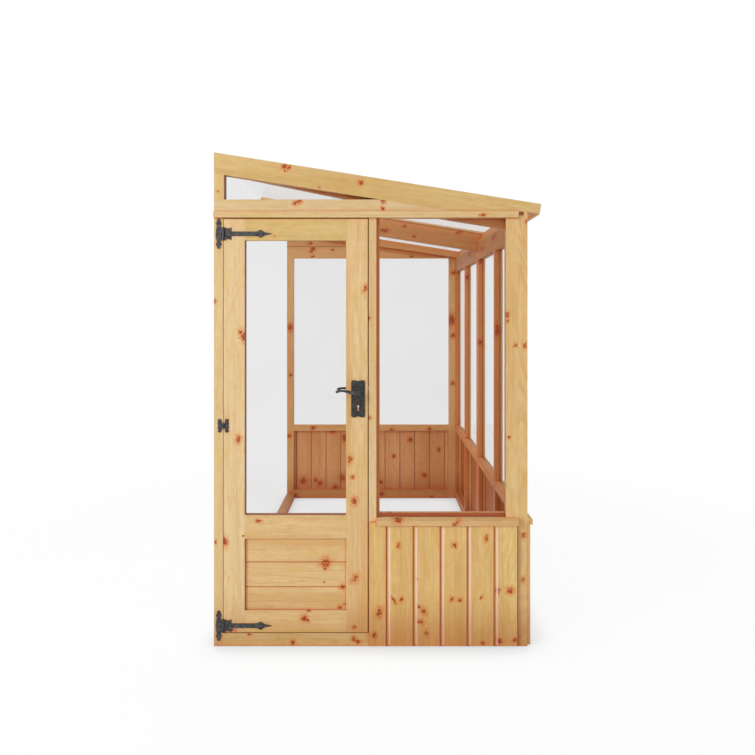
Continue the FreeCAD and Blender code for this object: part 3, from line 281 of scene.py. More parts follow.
def paintKnots(tree, coords, tone, knot, near, heart, look):
    # an orange halo, a dark rim and a red heart with its own rings
    cloud = remap(tree, noise(tree, coords, 110.0, 3.0), 0.35, 0.55, 0.25, 1.0)
    halo = maths(tree, "MULTIPLY", maths(tree, "POWER", near, 1.9), look["haloShow"])
    tone = mixColour(tree, maths(tree, "MULTIPLY", halo, cloud), tone, linear(look["halo"]))
    rings = maths(tree, "FRACT", maths(tree, "MULTIPLY", knot, look["knotRings"]))
    spot = maths(tree, "MULTIPLY", knot, 0.7)
    spot = maths(tree, "ADD", spot, maths(tree, "MULTIPLY", rings, 0.2))
    core, red, rim = look["knotCore"], look["knotHeart"], look["knotRim"]
    inside = ramp(tree, spot, [(0.0, core), (0.35, red), (0.75, red), (1.0, rim)])
    return mixColour(tree, heart, tone, inside)


def behindGlass(tree, place, inner):
    # 1 on the faces past every limit in "inner"
    behind = 1.0
    for axis, sign, limit in inner:
        side = maths(tree, "MULTIPLY", place.outputs[axis], float(sign))
        behind = maths(tree, "MULTIPLY", maths(tree, "GREATER_THAN", side, limit), behind)
    return behind


def paintJoints(tree, place, boards, behind, tone, look):
    # outside, a painted highlight on the scooped edge that faces the light; the joint itself is a dark
    # line
    axis, first, pitch = boards
    along = maths(tree, "DIVIDE", maths(tree, "SUBTRACT", place.outputs[axis], first), pitch)
    along = maths(tree, "MULTIPLY", maths(tree, "FRACT", along), pitch)
    if look["scoop"]:
        start, end = look["scoop"]
        rising = remap(tree, along, start - 0.001, start + 0.001)
        falling = remap(tree, along, end + 0.001, end - 0.001)
        strip = maths(tree, "MULTIPLY", rising, falling)
        strip = maths(tree, "MULTIPLY", strip, maths(tree, "SUBTRACT", 1.0, behind))
        tone = mixColour(tree, maths(tree, "MULTIPLY", strip, 0.7), tone, linear(look["pale"]))
    line = maths(tree, "GREATER_THAN", along, pitch - look["joint"])
    if look["innerJoint"]:
        line = maths(tree, "MULTIPLY", line, behind)
    seam = mixColour(tree, behind, linear(look["jointAndCreviceShade"]), linear(look["seam"]))
    return mixColour(tree, maths(tree, "MULTIPLY", line, 0.9), tone, seam)


def within(tree, value, low, high):
    above = maths(tree, "GREATER_THAN", value, low)
    return maths(tree, "MULTIPLY", above, maths(tree, "LESS_THAN", value, high))


def paintEdges(tree, place, edges, tone, look):
    # painted shade along an edge: left, right, foot and head of each strip
    for left, right, foot, head in edges:
        shaded = within(tree, place.outputs[0], left, right)
        shaded = maths(tree, "MULTIPLY", shaded, within(tree, place.outputs[2], foot, head))
        tone = mixColour(tree, maths(tree, "MULTIPLY", shaded, 0.85), tone, linear(look["edge"]))
    return tone


def openness(tree, distance, samples=6):
    return addNode(tree, "AmbientOcclusion", {"Distance": distance}, samples=samples).outputs["AO"]


def shadeCorners(tree, tone, look):
    # painted shade: warmer where the wood is near other wood, and a painted red shade in its crevices
    warmer = vectorMaths(tree, "MULTIPLY", tone, look["shadeWarmth"])
    tone = mixColour(tree, remap(tree, openness(tree, look["shadeReach"]), 0.95, 0.45), tone, warmer)
    creviceShade = remap(tree, openness(tree, look["creviceShadeReach"]), 0.88, 0.36, 0.0, 0.85)
    if look["topShade"] < 1.0:
        # a rafter's top under the roof glass gets little painted crevice shade
        facing = addNode(tree, "NewGeometry").outputs["True Normal"]
        up = addNode(tree, "SeparateXYZ", {0: facing}).outputs[2]
        less = maths(tree, "MULTIPLY", maths(tree, "GREATER_THAN", up, 0.7), look["topShade"] - 1.0)
        creviceShade = maths(tree, "MULTIPLY", creviceShade, maths(tree, "ADD", less, 1.0))
    return mixColour(tree, creviceShade, tone, linear(look["jointAndCreviceShade"]))


def pine(name, grain, boards=None, inner=(), knots=None, edges=(), **changes):
    look = {**pineLook, **changes}
    mat, tree = newMaterial(name)
    coords, moved, luck = pineGrain(tree, name, grain, boards)
    place = addNode(tree, "SeparateXYZ", {0: coords})

    knot = knotField(tree, coords, moved, knots, look)
    near = remap(tree, knot, 3.6, 0.8)
    crumbs = maths(tree, "SUBTRACT", noise(tree, coords, 210.0, 3.0, 0.6), 0.5)
    patchy = remap(tree, noise(tree, coords, 130.0, 2.0, 0.6), 0.40, 0.50, 0.1, 1.0)
    heart = remap(tree, maths(tree, "ADD", knot, crumbs), 1.15, 0.85)
    heart = maths(tree, "MULTIPLY", heart, patchy)

    late = lateRings(tree, moved, near, look)
    fibres = noise(tree, moved, 1.0, 3.0, 0.6, look["fibreStretch"])
    tone = woodTone(tree, moved, luck, late, fibres, look)
    tone = paintKnots(tree, coords, tone, knot, near, heart, look)

    # faces behind the glass get painted shade, a warmer and darker tone; timber also gets darker and
    # warmer towards the ground
    behind = 0.0
    if inner:
        behind = behindGlass(tree, place, inner)
        tone = mixColour(tree, behind, tone, linear(look["insideShadeTint"]), "MULTIPLY")
    if boards:
        tone = paintJoints(tree, place, boards, behind, tone, look)
    tone = paintEdges(tree, place, edges, tone, look)
    nearGround = remap(tree, place.outputs[2], look["footRise"], 0.0)
    tone = mixColour(tree, nearGround, tone, linear(look["footTint"]), "MULTIPLY")
    tone = shadeCorners(tree, tone, look)

    rough = maths(tree, "ADD", maths(tree, "MULTIPLY", fibres, 0.16), look["roughness"] - 0.08)
    rough = maths(tree, "SUBTRACT", rough, maths(tree, "MULTIPLY", heart, 0.14))
    height = maths(tree, "ADD", fibres, maths(tree, "MULTIPLY", late, -0.7))
    height = maths(tree, "ADD", height, maths(tree, "MULTIPLY", heart, 0.8))
    rounded = addNode(tree, "Bevel", {"Radius": look["arris"]}, samples=4).outputs[0]
    strength, distance = look["relief"]
    values = {"Height": height, "Strength": strength, "Distance": distance, "Normal": rounded}
    bump = addNode(tree, "Bump", values).outputs[0]
    finishSurface(tree, {"Base Color": tone, "Roughness": rough, "Normal": bump})
    return mat


# Hammered black iron
ironLook = {
    "low": "#2d2d2e",
    "high": "#585858",
    "rub": "#7d7b78",
    "shade": "#141312",
    "shadeReach": 0.009,
    "dimple": 210.0,
    "dimpleDepth": 0.0009,
    "cloud": 95.0,
    "wear": 320.0,
    "wornShare": 0.45,
    "shadeShare": 0.85,
    "dimpleStrength": 0.55,
    "roughness": (0.62, 0.42),
    "arris": 0.0009,
    "metal": 0.45,
}
# a darker copy of the iron for the backplates: painted shade from the levers
shadedPlateLook = {**ironLook, "low": "#21211f", "high": "#464443", "rub": "#6a6764"}


def hammeredIron(name, look):
    mat, tree = newMaterial(name)
    coords = addNode(tree, "TexCoord").outputs["Object"]
    values = {"Vector": coords, "Scale": look["dimple"], "Smoothness": 0.6}
    hammer = addNode(tree, "TexVoronoi", values, feature="SMOOTH_F1").outputs["Distance"]
    cloud = noise(tree, coords, look["cloud"], 4.0, 0.6)
    colour = ramp(tree, cloud, [(0.35, look["low"]), (0.68, look["high"])])
    worn = noise(tree, coords, look["wear"], 3.0, 0.6)
    worn = remap(tree, worn, 0.60, 0.75, 0.0, look["wornShare"])
    colour = mixColour(tree, worn, colour, linear(look["rub"]))
    # painted shade in the iron's corners and creases
    cornerShade = openness(tree, look["shadeReach"], 4)
    cornerShade = remap(tree, cornerShade, 0.85, 0.4, 0.0, look["shadeShare"])
    colour = mixColour(tree, cornerShade, colour, linear(look["shade"]))
    rough = remap(tree, cloud, 0.3, 0.7, *look["roughness"])
    rounded = addNode(tree, "Bevel", {"Radius": look["arris"]}, samples=4).outputs[0]
    strength, depth = look["dimpleStrength"], look["dimpleDepth"]
    values = {"Height": hammer, "Strength": strength, "Distance": depth, "Normal": rounded}
    bump = addNode(tree, "Bump", values).outputs[0]
    values = {"Base Color": colour, "Roughness": rough, "Metallic": look["metal"], "Normal": bump}
    finishSurface(tree, values)
    return mat


# Plated steel, brushed along its height
zincLook = {
    "pale": "#b9bcc0",
    "dark": "#85898e",
    "roughness": (0.46, 0.30),
    "spangle": 160.0,
    "brush": (900.0, 900.0, 30.0),
    "brushShare": 0.6,
    "relief": (0.1, 0.0002),
}
nickelLook = {**zincLook, "pale": "#a49d91", "dark": "#7d766b"}


def platedSteel(name, look):
    mat, tree = newMaterial(name)
    coords = addNode(tree, "TexCoord").outputs["Object"]
    brushed = noise(tree, coords, 1.0, 3.0, 0.6, look["brush"])
    cells = addNode(tree, "TexVoronoi", {"Vector": coords, "Scale": look["spangle"]})
    grey = addNode(tree, "SeparateColor", {0: cells.outputs["Color"]}).outputs[0]
    lines = maths(tree, "MULTIPLY", brushed, look["brushShare"])
    spangles = maths(tree, "MULTIPLY", grey, 1.0 - look["brushShare"])
    mixed = maths(tree, "ADD", lines, spangles)
    colour = ramp(tree, mixed, [(0.2, look["dark"]), (0.8, look["pale"])])
    rough = remap(tree, mixed, 0.2, 0.8, *look["roughness"])
    strength, depth = look["relief"]
    values = {"Height": brushed, "Strength": strength, "Distance": depth}
    bump = addNode(tree, "Bump", values).outputs[0]
    finishSurface(tree, {"Base Color": colour, "Roughness": rough, "Metallic": 1.0, "Normal": bump})
    return mat


# Clear horticultural glazing, which lets lamps through
glassLook = {
    "clear": "#eaeaea",
    "film": "#e8e8e8",
    "shadow": "#cdc0b2",
    "bend": 1.08,
    "haze": 0.004,
}
farGlassLook = {**glassLook, "clear": "#fbfbfb", "film": "#f9f9f9", "bend": 1.015}
roofGlassLook = {**farGlassLook, "shadow": "#f3ece4"}


def clearPane(name, look):
    mat, tree = newMaterial(name)
    coords = addNode(tree, "TexCoord").outputs["Object"]
    film = noise(tree, coords, 3.0, 4.0, 0.55)
    colour = ramp(tree, film, [(0.4, look["clear"]), (0.7, look["film"])])
    rough = remap(tree, film, 0.4, 0.7, 0.0, look["haze"])
    values = {"Base Color": colour, "Roughness": rough, "IOR": look["bend"], "Transmission Weight": 1.0}
    pane = addNode(tree, "BsdfPrincipled", values)
    through = addNode(tree, "BsdfTransparent", {"Color": linear(look["shadow"])})
    lamp = addNode(tree, "LightPath").outputs["Is Shadow Ray"]
    mixed = addNode(tree, "MixShader", {0: lamp, 1: pane.outputs[0], 2: through.outputs[0]})
    addNode(tree, "OutputMaterial", {"Surface": mixed.outputs[0]})
    return mat


def wear(node, mat):
    # one finish in every material slot of a CAD node
    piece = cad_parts[node]
    if not piece.data.materials:
        piece.data.materials.append(mat)
    for slot in piece.material_slots:
        slot.material = mat


# Knots that the eye meets first
knotPlaces = {
    "front_end_rafter": [
        (-0.378, 1.943, 0.0062, 1.0, 0),
        (-0.361, 1.938, 0.0048, 1.2, 20),
        (-0.376, 1.925, 0.0034, 0.5, 10),
        (-0.068, 1.877, 0.0062, 0.9, 30),
        (-0.236, 1.858, 0.0026, 1.0, 0),
    ],
    "front_infill_rail": [
        (-0.319, 1.802, 0.0060, 1.5, 50),
        (-0.335, 1.794, 0.0048, 1.3, 50),
        (0.023, 1.800, 0.0050, 1.0, 0),
        (0.021, 1.772, 0.0040, 1.4, 0),
    ],
    "front_head_strip": [(0.428, 1.745, 0.0065, 0.6, 0), (0.412, 1.743, 0.0030, 0.6, 0)],
    "front_left_post": [(-0.660, 1.397, 0.0040, 1.2, 0), (-0.657, 0.422, 0.0038, 1.2, 0)],
    "front_mullion": [(-0.034, 1.327, 0.0030, 1.4, 20), (-0.032, 0.925, 0.0034, 1.2, 0)],
    "front_right_stile": [
        (0.525, 1.342, 0.0050, 1.6, 10),
        (0.526, 1.317, 0.0034, 1.2, 0),
        (0.534, 0.846, 0.0036, 1.2, 0),
        (0.560, 1.218, 0.0050, 1.0, 0),
        (0.546, 0.450, 0.0046, 1.0, 40),
        (0.557, 0.444, 0.0056, 0.9, 60),
    ],
    "door_hinge_stile": [
        (-0.556, 1.271, 0.0055, 1.0, 0),
        (-0.541, 1.254, 0.0080, 1.8, -28),
        (-0.564, 0.838, 0.0066, 1.3, 0),
        (-0.618, 0.425, 0.0066, 1.9, -14),
        (-0.544, 0.445, 0.0028, 1.0, 0),
        (-0.590, 0.066, 0.0080, 0.5, 0),
    ],
    "door_lock_stile": [
        (-0.050, 1.450, 0.0052, 1.7, 28),
        (-0.112, 0.756, 0.0056, 1.7, 12),
        (-0.102, 0.684, 0.0044, 1.2, 40),
        (-0.094, 0.587, 0.0074, 1.3, 0),
        (-0.092, 0.275, 0.0070, 1.5, 30),
        (-0.096, 0.076, 0.0046, 1.0, 0),
    ],
    "door_top_rail": [(-0.420, 1.660, 0.0030, 0.7, 0)],
    "door_mid_rail": [(-0.483, 0.507, 0.0062, 0.7, 20), (-0.472, 0.510, 0.0034, 0.8, 0)],
    "door_panel_boards": [
        (-0.212, 0.334, 0.0118, 1.0, 0),
        (-0.214, 0.312, 0.0060, 0.7, 20),
        (-0.143, 0.238, 0.0062, 1.0, 0),
        (-0.152, 0.155, 0.0054, 0.8, 0),
        (-0.132, 0.166, 0.0040, 1.2, 60),
        (-0.216, 0.255, 0.0026, 1.0, 0),
    ],
    "door_bottom_rail": [
        (-0.298, 0.113, 0.0068, 1.2, 20),
        (-0.284, 0.104, 0.0046, 1.0, 0),
        (-0.280, 0.143, 0.0040, 0.8, 0),
    ],
    "front_bottom_rail": [
        (-0.345, 0.016, 0.0054, 1.0, 0),
        (-0.096, 0.030, 0.0066, 0.9, 0),
        (-0.080, 0.018, 0.0060, 0.8, 30),
        (-0.519, 0.048, 0.0044, 0.6, 0),
        (-0.008, 0.045, 0.0050, 1.0, 0),
    ],
    "front_sill": [(0.082, 0.519, 0.0110, 0.8, 0), (0.315, 0.502, 0.0046, 3.0, 48)],
    "front_cladding": [
        (0.007, 0.140, 0.0078, 1.5, 20),
        (-0.013, 0.049, 0.0058, 1.2, 0),
        (0.084, 0.412, 0.0050, 1.3, 0),
        (0.310, 0.412, 0.0054, 1.1, -40),
        (0.439, 0.440, 0.0048, 1.9, 12),
        (0.066, 0.190, 0.0040, 2.4, -34),
        (0.096, 0.194, 0.0038, 1.8, 24),
        (0.168, 0.166, 0.0046, 0.9, 0),
        (0.185, 0.146, 0.0060, 1.5, -30),
        (0.174, 0.103, 0.0074, 0.7, 10),
        (0.197, 0.057, 0.0046, 1.6, -10),
        (0.158, 0.275, 0.0030, 1.2, 0),
        (0.300, 0.194, 0.0048, 1.2, 20),
        (0.332, 0.192, 0.0056, 0.8, -20),
        (0.419, 0.202, 0.0034, 1.4, 20),
        (0.535, 0.230, 0.0084, 1.0, 0),
        (0.486, 0.229, 0.0046, 1.6, 0),
        (0.490, 0.025, 0.0078, 0.8, 10),
        (0.554, 0.029, 0.0056, 0.9, 0),
        (0.423, 0.017, 0.0052, 0.8, 0),
    ],
    "rear_head_rail": [
        (-0.474, 1.821, 0.0110, 1.0, 0),
        (-0.486, 1.802, 0.0070, 0.8, 0),
        (-0.476, 1.766, 0.0080, 0.5, 0),
        (-0.330, 1.815, 0.0070, 0.6, 0),
        (0.248, 1.773, 0.0080, 1.2, 30),
        (0.494, 1.775, 0.0100, 1.0, 0),
        (0.074, 1.826, 0.0100, 0.8, 0),
    ],
    "rear_infill_boards": [(-0.493, 1.862, 0.0090, 0.8, 0), (-0.300, 1.870, 0.0080, 0.8, 0)],
    "rear_mid_rails": [
        (-0.473, 0.513, 0.0110, 0.7, -20),
        (0.104, 0.500, 0.0100, 0.7, 0),
        (0.378, 0.508, 0.0080, 0.8, 0),
    ],
    "rear_left_stile": [
        (-0.645, 0.456, 0.0090, 1.0, 0),
        (-0.640, 1.250, 0.0110, 1.4, 0),
        (-0.636, 0.900, 0.0060, 1.0, 0),
    ],
    "rear_bottom_rail": [
        (0.028, 0.030, 0.0120, 0.7, 0),
        (0.394, 0.006, 0.0070, 0.8, 0),
        (-0.610, 0.020, 0.0090, 1.0, 0),
    ],
    "middle_rafter": [
        (0.046, 1.817, 0.0100, 0.55, 0),
        (0.028, 1.821, 0.0070, 0.6, 0),
        (0.150, 1.844, 0.0055, 0.8, 0),
        (0.250, 1.869, 0.0045, 0.8, 0),
        (0.470, 1.817, 0.0075, 1.0, 0),
        (0.455, 1.806, 0.0045, 1.0, 0),
        (0.207, 1.787, 0.0050, 0.8, 0),
        (-0.120, 1.880, 0.0070, 0.8, 0),
        (-0.430, 1.930, 0.0080, 0.8, 0),
    ],
    "rear_cladding": [
        (-0.548, 0.118, 0.0150, 1.1, 20),
        (-0.457, 0.124, 0.0080, 1.2, 20),
        (-0.426, 0.102, 0.0120, 0.9, 0),
        (-0.312, 0.069, 0.0100, 1.0, 0),
        (-0.259, 0.143, 0.0130, 1.3, -20),
        (-0.332, 0.480, 0.0140, 0.6, 0),
        (-0.243, 0.435, 0.0130, 1.4, 0),
        (0.120, 0.300, 0.0090, 1.0, 0),
        (0.240, 0.420, 0.0100, 1.1, 0),
        (0.345, 0.160, 0.0110, 0.9, 20),
        (0.450, 0.350, 0.0080, 1.2, 0),
        (0.020, 0.110, 0.0100, 0.9, 0),
    ],
    "rear_right_stile": [
        (0.553, 1.645, 0.0100, 1.0, 0),
        (0.540, 1.300, 0.0150, 1.7, 0),
        (0.551, 1.190, 0.0110, 1.0, 0),
        (0.548, 0.840, 0.0080, 1.0, 0),
    ],
    "wall_stiles_and_studs": [
        (0.579, 1.643, 0.0075, 1.0, 0, -0.022),
        (0.579, 1.186, 0.0085, 1.1, 0, -0.022),
        (0.580, 1.262, 0.0090, 1.3, 0, -0.607),
        (0.579, 1.285, 0.0060, 1.0, 0, -0.607),
        (0.582, 1.585, 0.0090, 1.0, 0, 0.607),
        (0.597, 1.217, 0.0060, 1.0, 0, -1.193),
        (0.602, 1.719, 0.0040, 1.0, 0, -1.193),
        (0.592, 0.448, 0.0062, 1.0, 30, -1.193),
        (0.590, 0.269, 0.0046, 1.3, 30, -1.193),
    ],
    "wall_top_rails": [
        (0.570, 1.722, 0.0070, 1.1, 0, -0.600),
        (0.570, 1.700, 0.0060, 0.9, 0, -0.200),
        (0.570, 1.715, 0.0080, 1.0, 0, 0.350),
        (0.570, 1.690, 0.0060, 1.0, 0, 0.850),
        (0.570, 1.705, 0.0050, 0.9, 0, -0.950),
    ],
}

# Grain, boards (axis, start, pitch), faces behind the glass (axis, sign, limit) and tint
frontSide = [(1, 1, -1.2015), (0, 1, -0.6625)]
rearSide = [(1, -1, -1.2015), (0, 1, -0.6625)]
wallSide = [(0, -1, -0.5935), (1, 1, -1.2135), (1, -1, -1.2135)]
allInside = [(2, 1, -1.0)]
timbers = {
    "front_left_post": ("upright", None, frontSide, "#fbfbf1"),
    "front_mullion": ("upright", None, frontSide, "#ffffff"),
    "front_right_stile": ("upright", None, frontSide, "#faf0d8"),
    "front_infill_stile": ("upright", None, frontSide, "#ffffff"),
    "door_stops": ("upright", None, frontSide, "#e8c9a8"),
    "front_bottom_rail": ("across", None, frontSide, "#fafde9"),
    "front_head_rail": ("across", None, frontSide, "#ffffff"),
    "front_head_strip": ("across", None, (), "#f7f1e1"),
    "front_mid_rail": ("across", None, frontSide, "#ffffff"),
    "front_sill": ("across", None, (), "#f2e1ca"),
    "front_infill_rail": ("across", None, frontSide, "#f6f7f4"),
    "rear_left_stile": ("upright", None, rearSide, "#ffffff"),
    "rear_mullion": ("upright", None, rearSide, "#ffffff"),
    "rear_right_stile": ("upright", None, rearSide, "#ffffff"),
    "rear_bottom_rail": ("across", None, rearSide, "#ffffff"),
    "rear_mid_rails": ("across", None, rearSide, "#ffffff"),
    "rear_head_rail": ("across", None, rearSide, "#ffffff"),
    "rear_sill": ("across", None, (), "#f2e1ca"),
    "rear_infill_boards": ("across", (2, 1.7412, 0.1), rearSide, "#f0e4d8"),
    "wall_stiles_and_studs": ("upright", (1, -1.36, 0.3), wallSide, "#f8e8cb"),
    "wall_bottom_rails": ("deep", (1, -1.36, 1.36), wallSide, "#ffffff"),
    "wall_mid_rails": ("deep", (1, -1.215, 0.607), wallSide, "#ffffff"),
    "wall_top_rails": ("deep", (1, -1.36, 1.36), wallSide, "#ffffff"),
    "wall_sill": ("deep", None, (), "#f2dbb6"),
    "eaves_plates": ("deep", None, wallSide, "#ffffff"),
    "front_cladding": ("upright", (0, -0.0713, 0.1088), [(1, 1, -1.2151)], "#fbefca"),
    "rear_cladding": ("upright", (0, -0.7046, 0.1088), [(1, -1, -1.2151)], "#fdead0"),
    "wall_cladding": ("upright", (1, -1.2512, 0.1088), [(0, -1, -0.6071)], "#fdead0"),
    "front_end_rafter": ("sloping", None, [(1, 1, -1.1775)], "#f0e7c8"),
    "rear_end_rafter": ("sloping", None, [(1, -1, -1.1775)], "#fae6cc"),
    "front_rafter_packer": ("sloping", None, allInside, "#ffffff"),
    "rear_rafter_packer": ("sloping", None, allInside, "#ffffff"),
    "middle_rafter": ("sloping", None, allInside, "#ffffff"),
    "roof_cover_batten": ("sloping", None, (), "#ffffff"),
    "eaves_fascia": ("deep", None, (), "#fff1da"),
    "eaves_closers": ("deep", None, allInside, "#ffffff"),
    "wall_side_runner": ("deep", None, allInside, "#ffffff"),
    "door_hinge_stile": ("upright", None, (), "#fffdf8"),
    "door_lock_stile": ("upright", None, (), "#fdf5e6"),
    "door_top_rail": ("across", None, (), "#f2edcd"),
    "door_mid_rail": ("across", None, (), "#f8edd8"),
    "door_bottom_rail": ("across", None, (), "#fffef0"),
    "door_panel_boards": ("across", (2, 0.137, 0.1018), (), "#fbf2e0"),
}
plainStuds = {"scoop": None, "joint": 0.0, "shadeWarmth": (1.0, 1.02, 1.0)}
underGlass = {"insideShadeTint": "#e1b999", "topShade": 0.2}
changedLooks = {
    "wall_stiles_and_studs": {**plainStuds, "insideShadeTint": "#f4ba9c", "ringShow": 0.26},
    "wall_bottom_rails": {**plainStuds, "insideShadeTint": "#f6ba9a"},
    "wall_top_rails": {**plainStuds, "insideShadeTint": "#d3a283", "ringShow": 0.32},
    "wall_mid_rails": {**plainStuds, "insideShadeTint": "#f6ba9a"},
    "middle_rafter": {**underGlass, "insideShadeTint": "#d6ac8c", "ringShow": 0.30},
    "front_rafter_packer": underGlass,
    "rear_rafter_packer": underGlass,
    "front_end_rafter": {"topShade": 0.2},
    "front_mullion": {"jointAndCreviceShade": "#df7a40"},
    "rear_end_rafter": underGlass,
    "eaves_closers": {"insideShadeTint": "#e1b999"},
    "eaves_plates": underGlass,
    "rear_head_rail": {"ringShow": 0.30},
    "rear_cladding": {"insideShadeTint": "#f3dddc"},
    "rear_infill_boards": {"scoop": None, "joint": 0.004, "innerJoint": True},
    "wall_cladding": {"insideShadeTint": "#d4927a", "shadeWarmth": (1.0, 1.0, 1.0)},
    "door_panel_boards": {"scoop": None, "joint": 0.0012},
    "door_bottom_rail": {"footTint": "#eedccf"},
    "front_bottom_rail": {"footTint": "#e2d0c2"},
}
# painted shade lines along some edges
shadedEdges = {
    "door_hinge_stile": [(-0.5388, -0.535, 0.146, 0.434), (-0.5388, -0.535, 0.533, 1.6425)],
    "door_mid_rail": [(-0.536, -0.128, 0.5303, 0.54)],
    "front_cladding": [(0.5628, 0.567, 0.0, 0.503)],
    "front_infill_stile": [(-0.6228, -0.619, 1.806, 1.92)],
}
for node, (grain, boards, inner, tint) in timbers.items():
    knots = knotPlaces.get(node)
    edges = shadedEdges.get(node, ())
    changes = changedLooks.get(node, {})
    wear(node, pine(node, grain, boards, inner, knots, edges, tint=tint, **changes))

finishes = {
    "iron": ["hinge_frame_leaves", "hinge_door_leaves", "hinge_pins", "lever_handles"],
    "shadedPlateIron": ["door_backplates"],
    "zinc": ["lock_case", "lock_follower", "keep_plate"],
    "nickel": ["latch_bolt", "dead_bolt"],
    "nearPane": ["door_pane", "front_window_pane", "front_infill_pane"],
    "farPane": ["rear_window_panes", "wall_panes"],
    "roofPane": ["roof_panes"],
}
looks = {
    "iron": hammeredIron("hammeredIron", ironLook),
    "shadedPlateIron": hammeredIron("shadedPlateIron", shadedPlateLook),
    "zinc": platedSteel("zincSteel", zincLook),
    "nickel": platedSteel("nickelledSteel", nickelLook),
    "nearPane": clearPane("nearPane", glassLook),
    "farPane": clearPane("farPane", farGlassLook),
    "roofPane": clearPane("roofPane", roofGlassLook),
}
for finish, nodes in finishes.items():
    for node in nodes:
        wear(node, looks[finish])
print("finishes on", len(timbers) + sum(len(nodes) for nodes in finishes.values()), "nodes")


# Small fixings, built once at the origin facing up and copied to their places
slotDepth = 0.55  # of the head's rise
fixingLook = {
    "screw": {"radius": 0.0036, "rise": 0.0017, "slot": 0.0009, "steps": 20},
    "rivet": {"radius": 0.0066, "rise": 0.0034, "slot": 0.0, "steps": 28},
    "nail": {"radius": 0.0014, "rise": 0.0004, "slot": 0.0, "steps": 10},
    "batten screw": {"radius": 0.0042, "rise": 0.0018, "slot": 0.0010, "steps": 20},
}
facings = {
    "out": Matrix.Rotation(math.pi / 2, 4, "X"),
    "in": Matrix.Rotation(-math.pi / 2, 4, "X"),
    "right": Matrix.Rotation(math.pi / 2, 4, "Y"),
    "up slope": Matrix.Rotation(roofSlope, 4, "Y"),
}


def turnProfile(shape, profile, steps):
    # spins a profile in X and Z once round Z
    row = [shape.verts.new((x, 0.0, z)) for x, z in profile]
    edges = [shape.edges.new(pair) for pair in zip(row, row[1:])]
    centre, axis = (0.0, 0.0, 0.0), (0.0, 0.0, 1.0)
    bmesh.ops.spin(
        shape, geom=row + edges, cent=centre, axis=axis, angle=math.tau, steps=steps, use_merge=True
    )
    bmesh.ops.remove_doubles(shape, verts=shape.verts, dist=1e-6)
    bmesh.ops.recalc_face_normals(shape, faces=shape.faces)


def fixingMesh(name):
    look = fixingLook[name]
    radius, rise, slot = look["radius"], look["rise"], look["slot"]
    shape = bmesh.new()
    dome = [(0.0, 1.0), (0.45, 0.92), (0.78, 0.62), (0.97, 0.22), (1.0, 0.0), (0.97, -0.2)]
    turnProfile(shape, [(x * radius, z * rise) for x, z in dome], look["steps"])
    if slot:
        for side in (-0.5, 0.5):
            geom = shape.verts[:] + shape.edges[:] + shape.faces[:]
            edge = (0.0, side * slot, 0.0)
            bmesh.ops.bisect_plane(shape, geom=geom, plane_co=edge, plane_no=(0.0, 1.0, 0.0))
        inSlot = [face for face in shape.faces if abs(face.calc_center_median().y) < 0.45 * slot]
        sunk = bmesh.ops.extrude_face_region(shape, geom=inSlot)["geom"]
        sunkVerts = [part for part in sunk if isinstance(part, bmesh.types.BMVert)]
        bmesh.ops.translate(shape, verts=sunkVerts, vec=(0.0, 0.0, -slotDepth * rise))
    mesh = bpy.data.meshes.new(name)
    shape.to_mesh(mesh)
    shape.free()
    return mesh


def addPiece(name, shape, mat, body):
    mesh = bpy.data.meshes.new(name)
    shape.to_mesh(mesh)
    shape.free()
    piece = bpy.data.objects.new(name, mesh)
    mesh.materials.append(mat)
    bpy.context.scene.collection.objects.link(piece)
    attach(piece, body)


def setFixings(name, kind, places, mat, body):
    # places: x, y, z and which way the head looks
    head = fixingMesh(kind)
    shape = bmesh.new()
    for place in places:
        known = len(shape.verts)
        shape.from_mesh(head)
        shape.verts.ensure_lookup_table()
        turn = Matrix.Rotation(chance.uniform(0.0, math.tau), 4, "Z")
        matrix = Matrix.Translation(place[:3]) @ facings[place[3]] @ turn
        bmesh.ops.transform(shape, matrix=matrix, verts=shape.verts[known:])
    bpy.data.meshes.remove(head)
    addPiece(name, shape, mat, body)


chance = random.Random(7)
ironworkLook = {
    "plateFace": -1.2175,
    "strapHeights": (1.670, 0.083),
    "jambScrews": ((-0.6385, 0.042), (-0.6425, 0.017)),
    "kneeScrews": (-0.603, 0.012),
    "strapScrews": (-0.552, -0.506),
    "strapRivet": -0.469,
    "butterflyHeight": 0.893,
    "butterflyScrews": (-0.6405, -0.6095, 0.014),
    "backplateScrews": ((-0.0985, -0.0595), (0.9375, 1.0665)),
    "backplateFaces": ((-1.2185, "out"), (-1.1835, "in")),
}


def ironworkPlaces(look):
    face = look["plateFace"]
    onFrame = []
    onDoor = []
    rivets = []
    knee, kneeRise = look["kneeScrews"]
    for height in look["strapHeights"]:
        for x, rise in look["jambScrews"]:
            onFrame += [(x, face, height + rise, "out"), (x, face, height - rise, "out")]
        onDoor += [(knee, face, height + side * kneeRise, "out") for side in (-1, 1)]
        onDoor += [(x, face, height, "out") for x in look["strapScrews"]]
        rivets.append((look["strapRivet"], face, height, "out"))
    frameSide, doorSide, rise = look["butterflyScrews"]
    for side in (-1, 1):
        onFrame.append((frameSide, face, look["butterflyHeight"] + side * rise, "out"))
        onDoor.append((doorSide, face, look["butterflyHeight"] + side * rise, "out"))
    columns, rows = look["backplateScrews"]
    for x in columns:
        for z in rows:
            onDoor += [(x, y, z, facing) for y, facing in look["backplateFaces"]]
    return onFrame, onDoor, rivets


frameScrews, doorScrews, strapRivets = ironworkPlaces(ironworkLook)
setFixings("frame_hinge_screws", "screw", frameScrews, looks["iron"], "frame")
setFixings("door_ironwork_screws", "screw", doorScrews, looks["iron"], "door")
setFixings("strap_rivets", "rivet", strapRivets, looks["iron"], "door")

